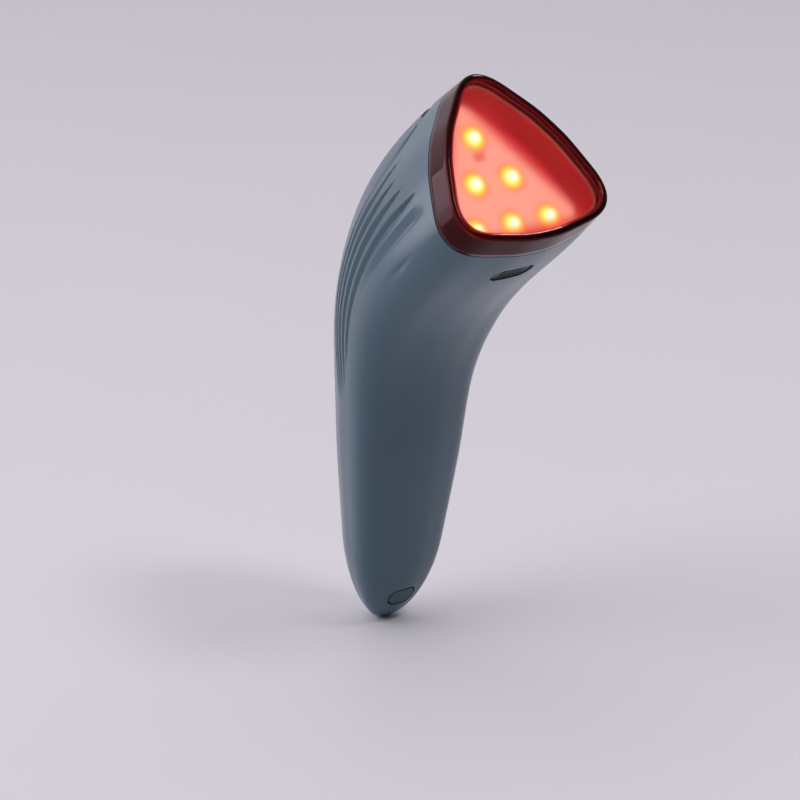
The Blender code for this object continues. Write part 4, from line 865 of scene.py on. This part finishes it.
# The sensor is no lamp: its glow is painted light from the lights near it.
sensor_stops = [(0.0, (0.95, 0.55, 0.55)), (1.0, (1.0, 0.7, 0.6))]
sensor_levels = [(0.0, 0.85), (1.0, 1.2)]
sensor_glow = glowing("sensor_finish", (0.06, 0.03, 0.03), sensor_stops, sensor_levels, REACH)
wall_stops = [(0.0, (1.0, 0.05, 0.12)), (0.45, (1.0, 0.05, 0.10)), (0.8, (1.0, 0.30, 0.22))]
wall_levels = [(0.0, 0.33), (0.5, 0.40), (1.0, 1.5)]
# The well's crimson wall is a painted glow by the distance to the lights, and its rim gets a painted
# highlight line.
well_glow = glowing("well_finish", (0.16, 0.008, 0.012), wall_stops, wall_levels, 0.018, 0.3,
                    rim=lambda tree, place: (by_attribute(tree, RIM_HIGHLIGHT, 0.0, 1.0, 0.0, 1.0), (1.0, 0.55, 0.5)))
well_glow.node_tree.nodes["Principled BSDF"].inputs["Specular IOR Level"].default_value = 0.12
dress(well, well_glow, "handle", ("light_well",))

# %% [markdown]
# Some of the light is caught in the bead round the window and leaves it at its foot, as a thin red
# line that is brightest where a light is near. The lamps in this file can't make that by themselves,
# so the cap's finish is given a faint glow there.

# %% Glow at the foot of the bead
tree = red.node_tree
shader = tree.nodes["Principled BSDF"]
place = tree.nodes.new("ShaderNodeTexCoord")
near = tree.nodes.new("ShaderNodeMapRange")
near.inputs["From Min"].default_value = 0.030
near.inputs["From Max"].default_value = 0.012
near.inputs["To Min"].default_value = 0.25
near.inputs["To Max"].default_value = 1.0
foot = tree.nodes.new("ShaderNodeValToRGB")
foot.color_ramp.elements[0].position = 0.40
foot.color_ramp.elements[0].color = (0.0, 0.0, 0.0, 1.0)
foot.color_ramp.elements[1].position = 0.70
foot.color_ramp.elements[1].color = (0.0, 0.0, 0.0, 1.0)
foot.color_ramp.elements.new(0.58).color = (0.20, 0.004, 0.004, 1.0)
stored = tree.nodes.new("ShaderNodeAttribute")
stored.attribute_name = SHADE
tree.links.new(nearest_light(tree, place.outputs["Object"]), near.inputs["Value"])
tree.links.new(stored.outputs["Fac"], foot.inputs["Fac"])
tree.links.new(foot.outputs["Color"], shader.inputs["Emission Color"])
tree.links.new(near.outputs["Result"], shader.inputs["Emission Strength"])
print("glow at the foot of the bead")

# %% Finishes of the board, the lights and the sensor
nodes["led_board"].data.materials[0] = board_glow
nodes["skin_sensor"].data.materials[0] = sensor_glow
for index in range(1, len(led_spots) + 1):
    nodes[f"red_led_{index}"].data.materials[0] = board_glow
print("lights at", [(round(1000 * across, 1), round(1000 * up, 1)) for across, up in led_spots])

# %% [markdown]
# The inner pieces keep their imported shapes, which are right already, and get finishes of their own:
# black and grey plastics, green boards, bare and painted metal, rubber, copper and wire.

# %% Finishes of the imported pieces
INNER_FINISHES = (
    ("dark_plastic", (0.020, 0.020, 0.022), (0.030, 0.030, 0.033), 300.0, (0.35, 0.5), 0.4, 0.0),
    ("soft_rubber", (0.050, 0.086, 0.110), (0.056, 0.094, 0.119), 120.0, (0.5, 0.62), 0.5, 0.0),
    ("aluminium", (0.70, 0.71, 0.72), (0.76, 0.77, 0.78), 700.0, (0.28, 0.42), 0.3, 1.0),
    ("steel", (0.56, 0.56, 0.58), (0.64, 0.64, 0.66), 900.0, (0.2, 0.34), 0.2, 1.0),
    ("frame_plastic", (0.50, 0.51, 0.52), (0.56, 0.57, 0.58), 200.0, (0.42, 0.55), 0.3, 0.0),
    ("circuit_board", (0.012, 0.130, 0.055), (0.022, 0.175, 0.080), 900.0, (0.3, 0.45), 0.3, 0.0),
    ("copper", (0.70, 0.30, 0.14), (0.80, 0.38, 0.20), 1500.0, (0.28, 0.4), 0.6, 1.0),
    ("cell_wrap", (0.04, 0.17, 0.46), (0.05, 0.21, 0.54), 90.0, (0.3, 0.4), 0.1, 0.0),
    ("wire_red", (0.42, 0.015, 0.015), (0.52, 0.025, 0.02), 400.0, (0.4, 0.5), 0.2, 0.0),
    ("clear_plastic", (0.80, 0.83, 0.85), (0.88, 0.90, 0.91), 300.0, (0.12, 0.2), 0.0, 0.0),
)
finishes = {name: finish(f"{name}_finish", *numbers) for name, *numbers in INNER_FINISHES}
for node in nodes.values():
    for index, old in enumerate(node.data.materials):
        name = old.name.split(".")[0]
        if name in finishes:
            node.data.materials[index] = finishes[name]
print("finishes", sorted(finishes))
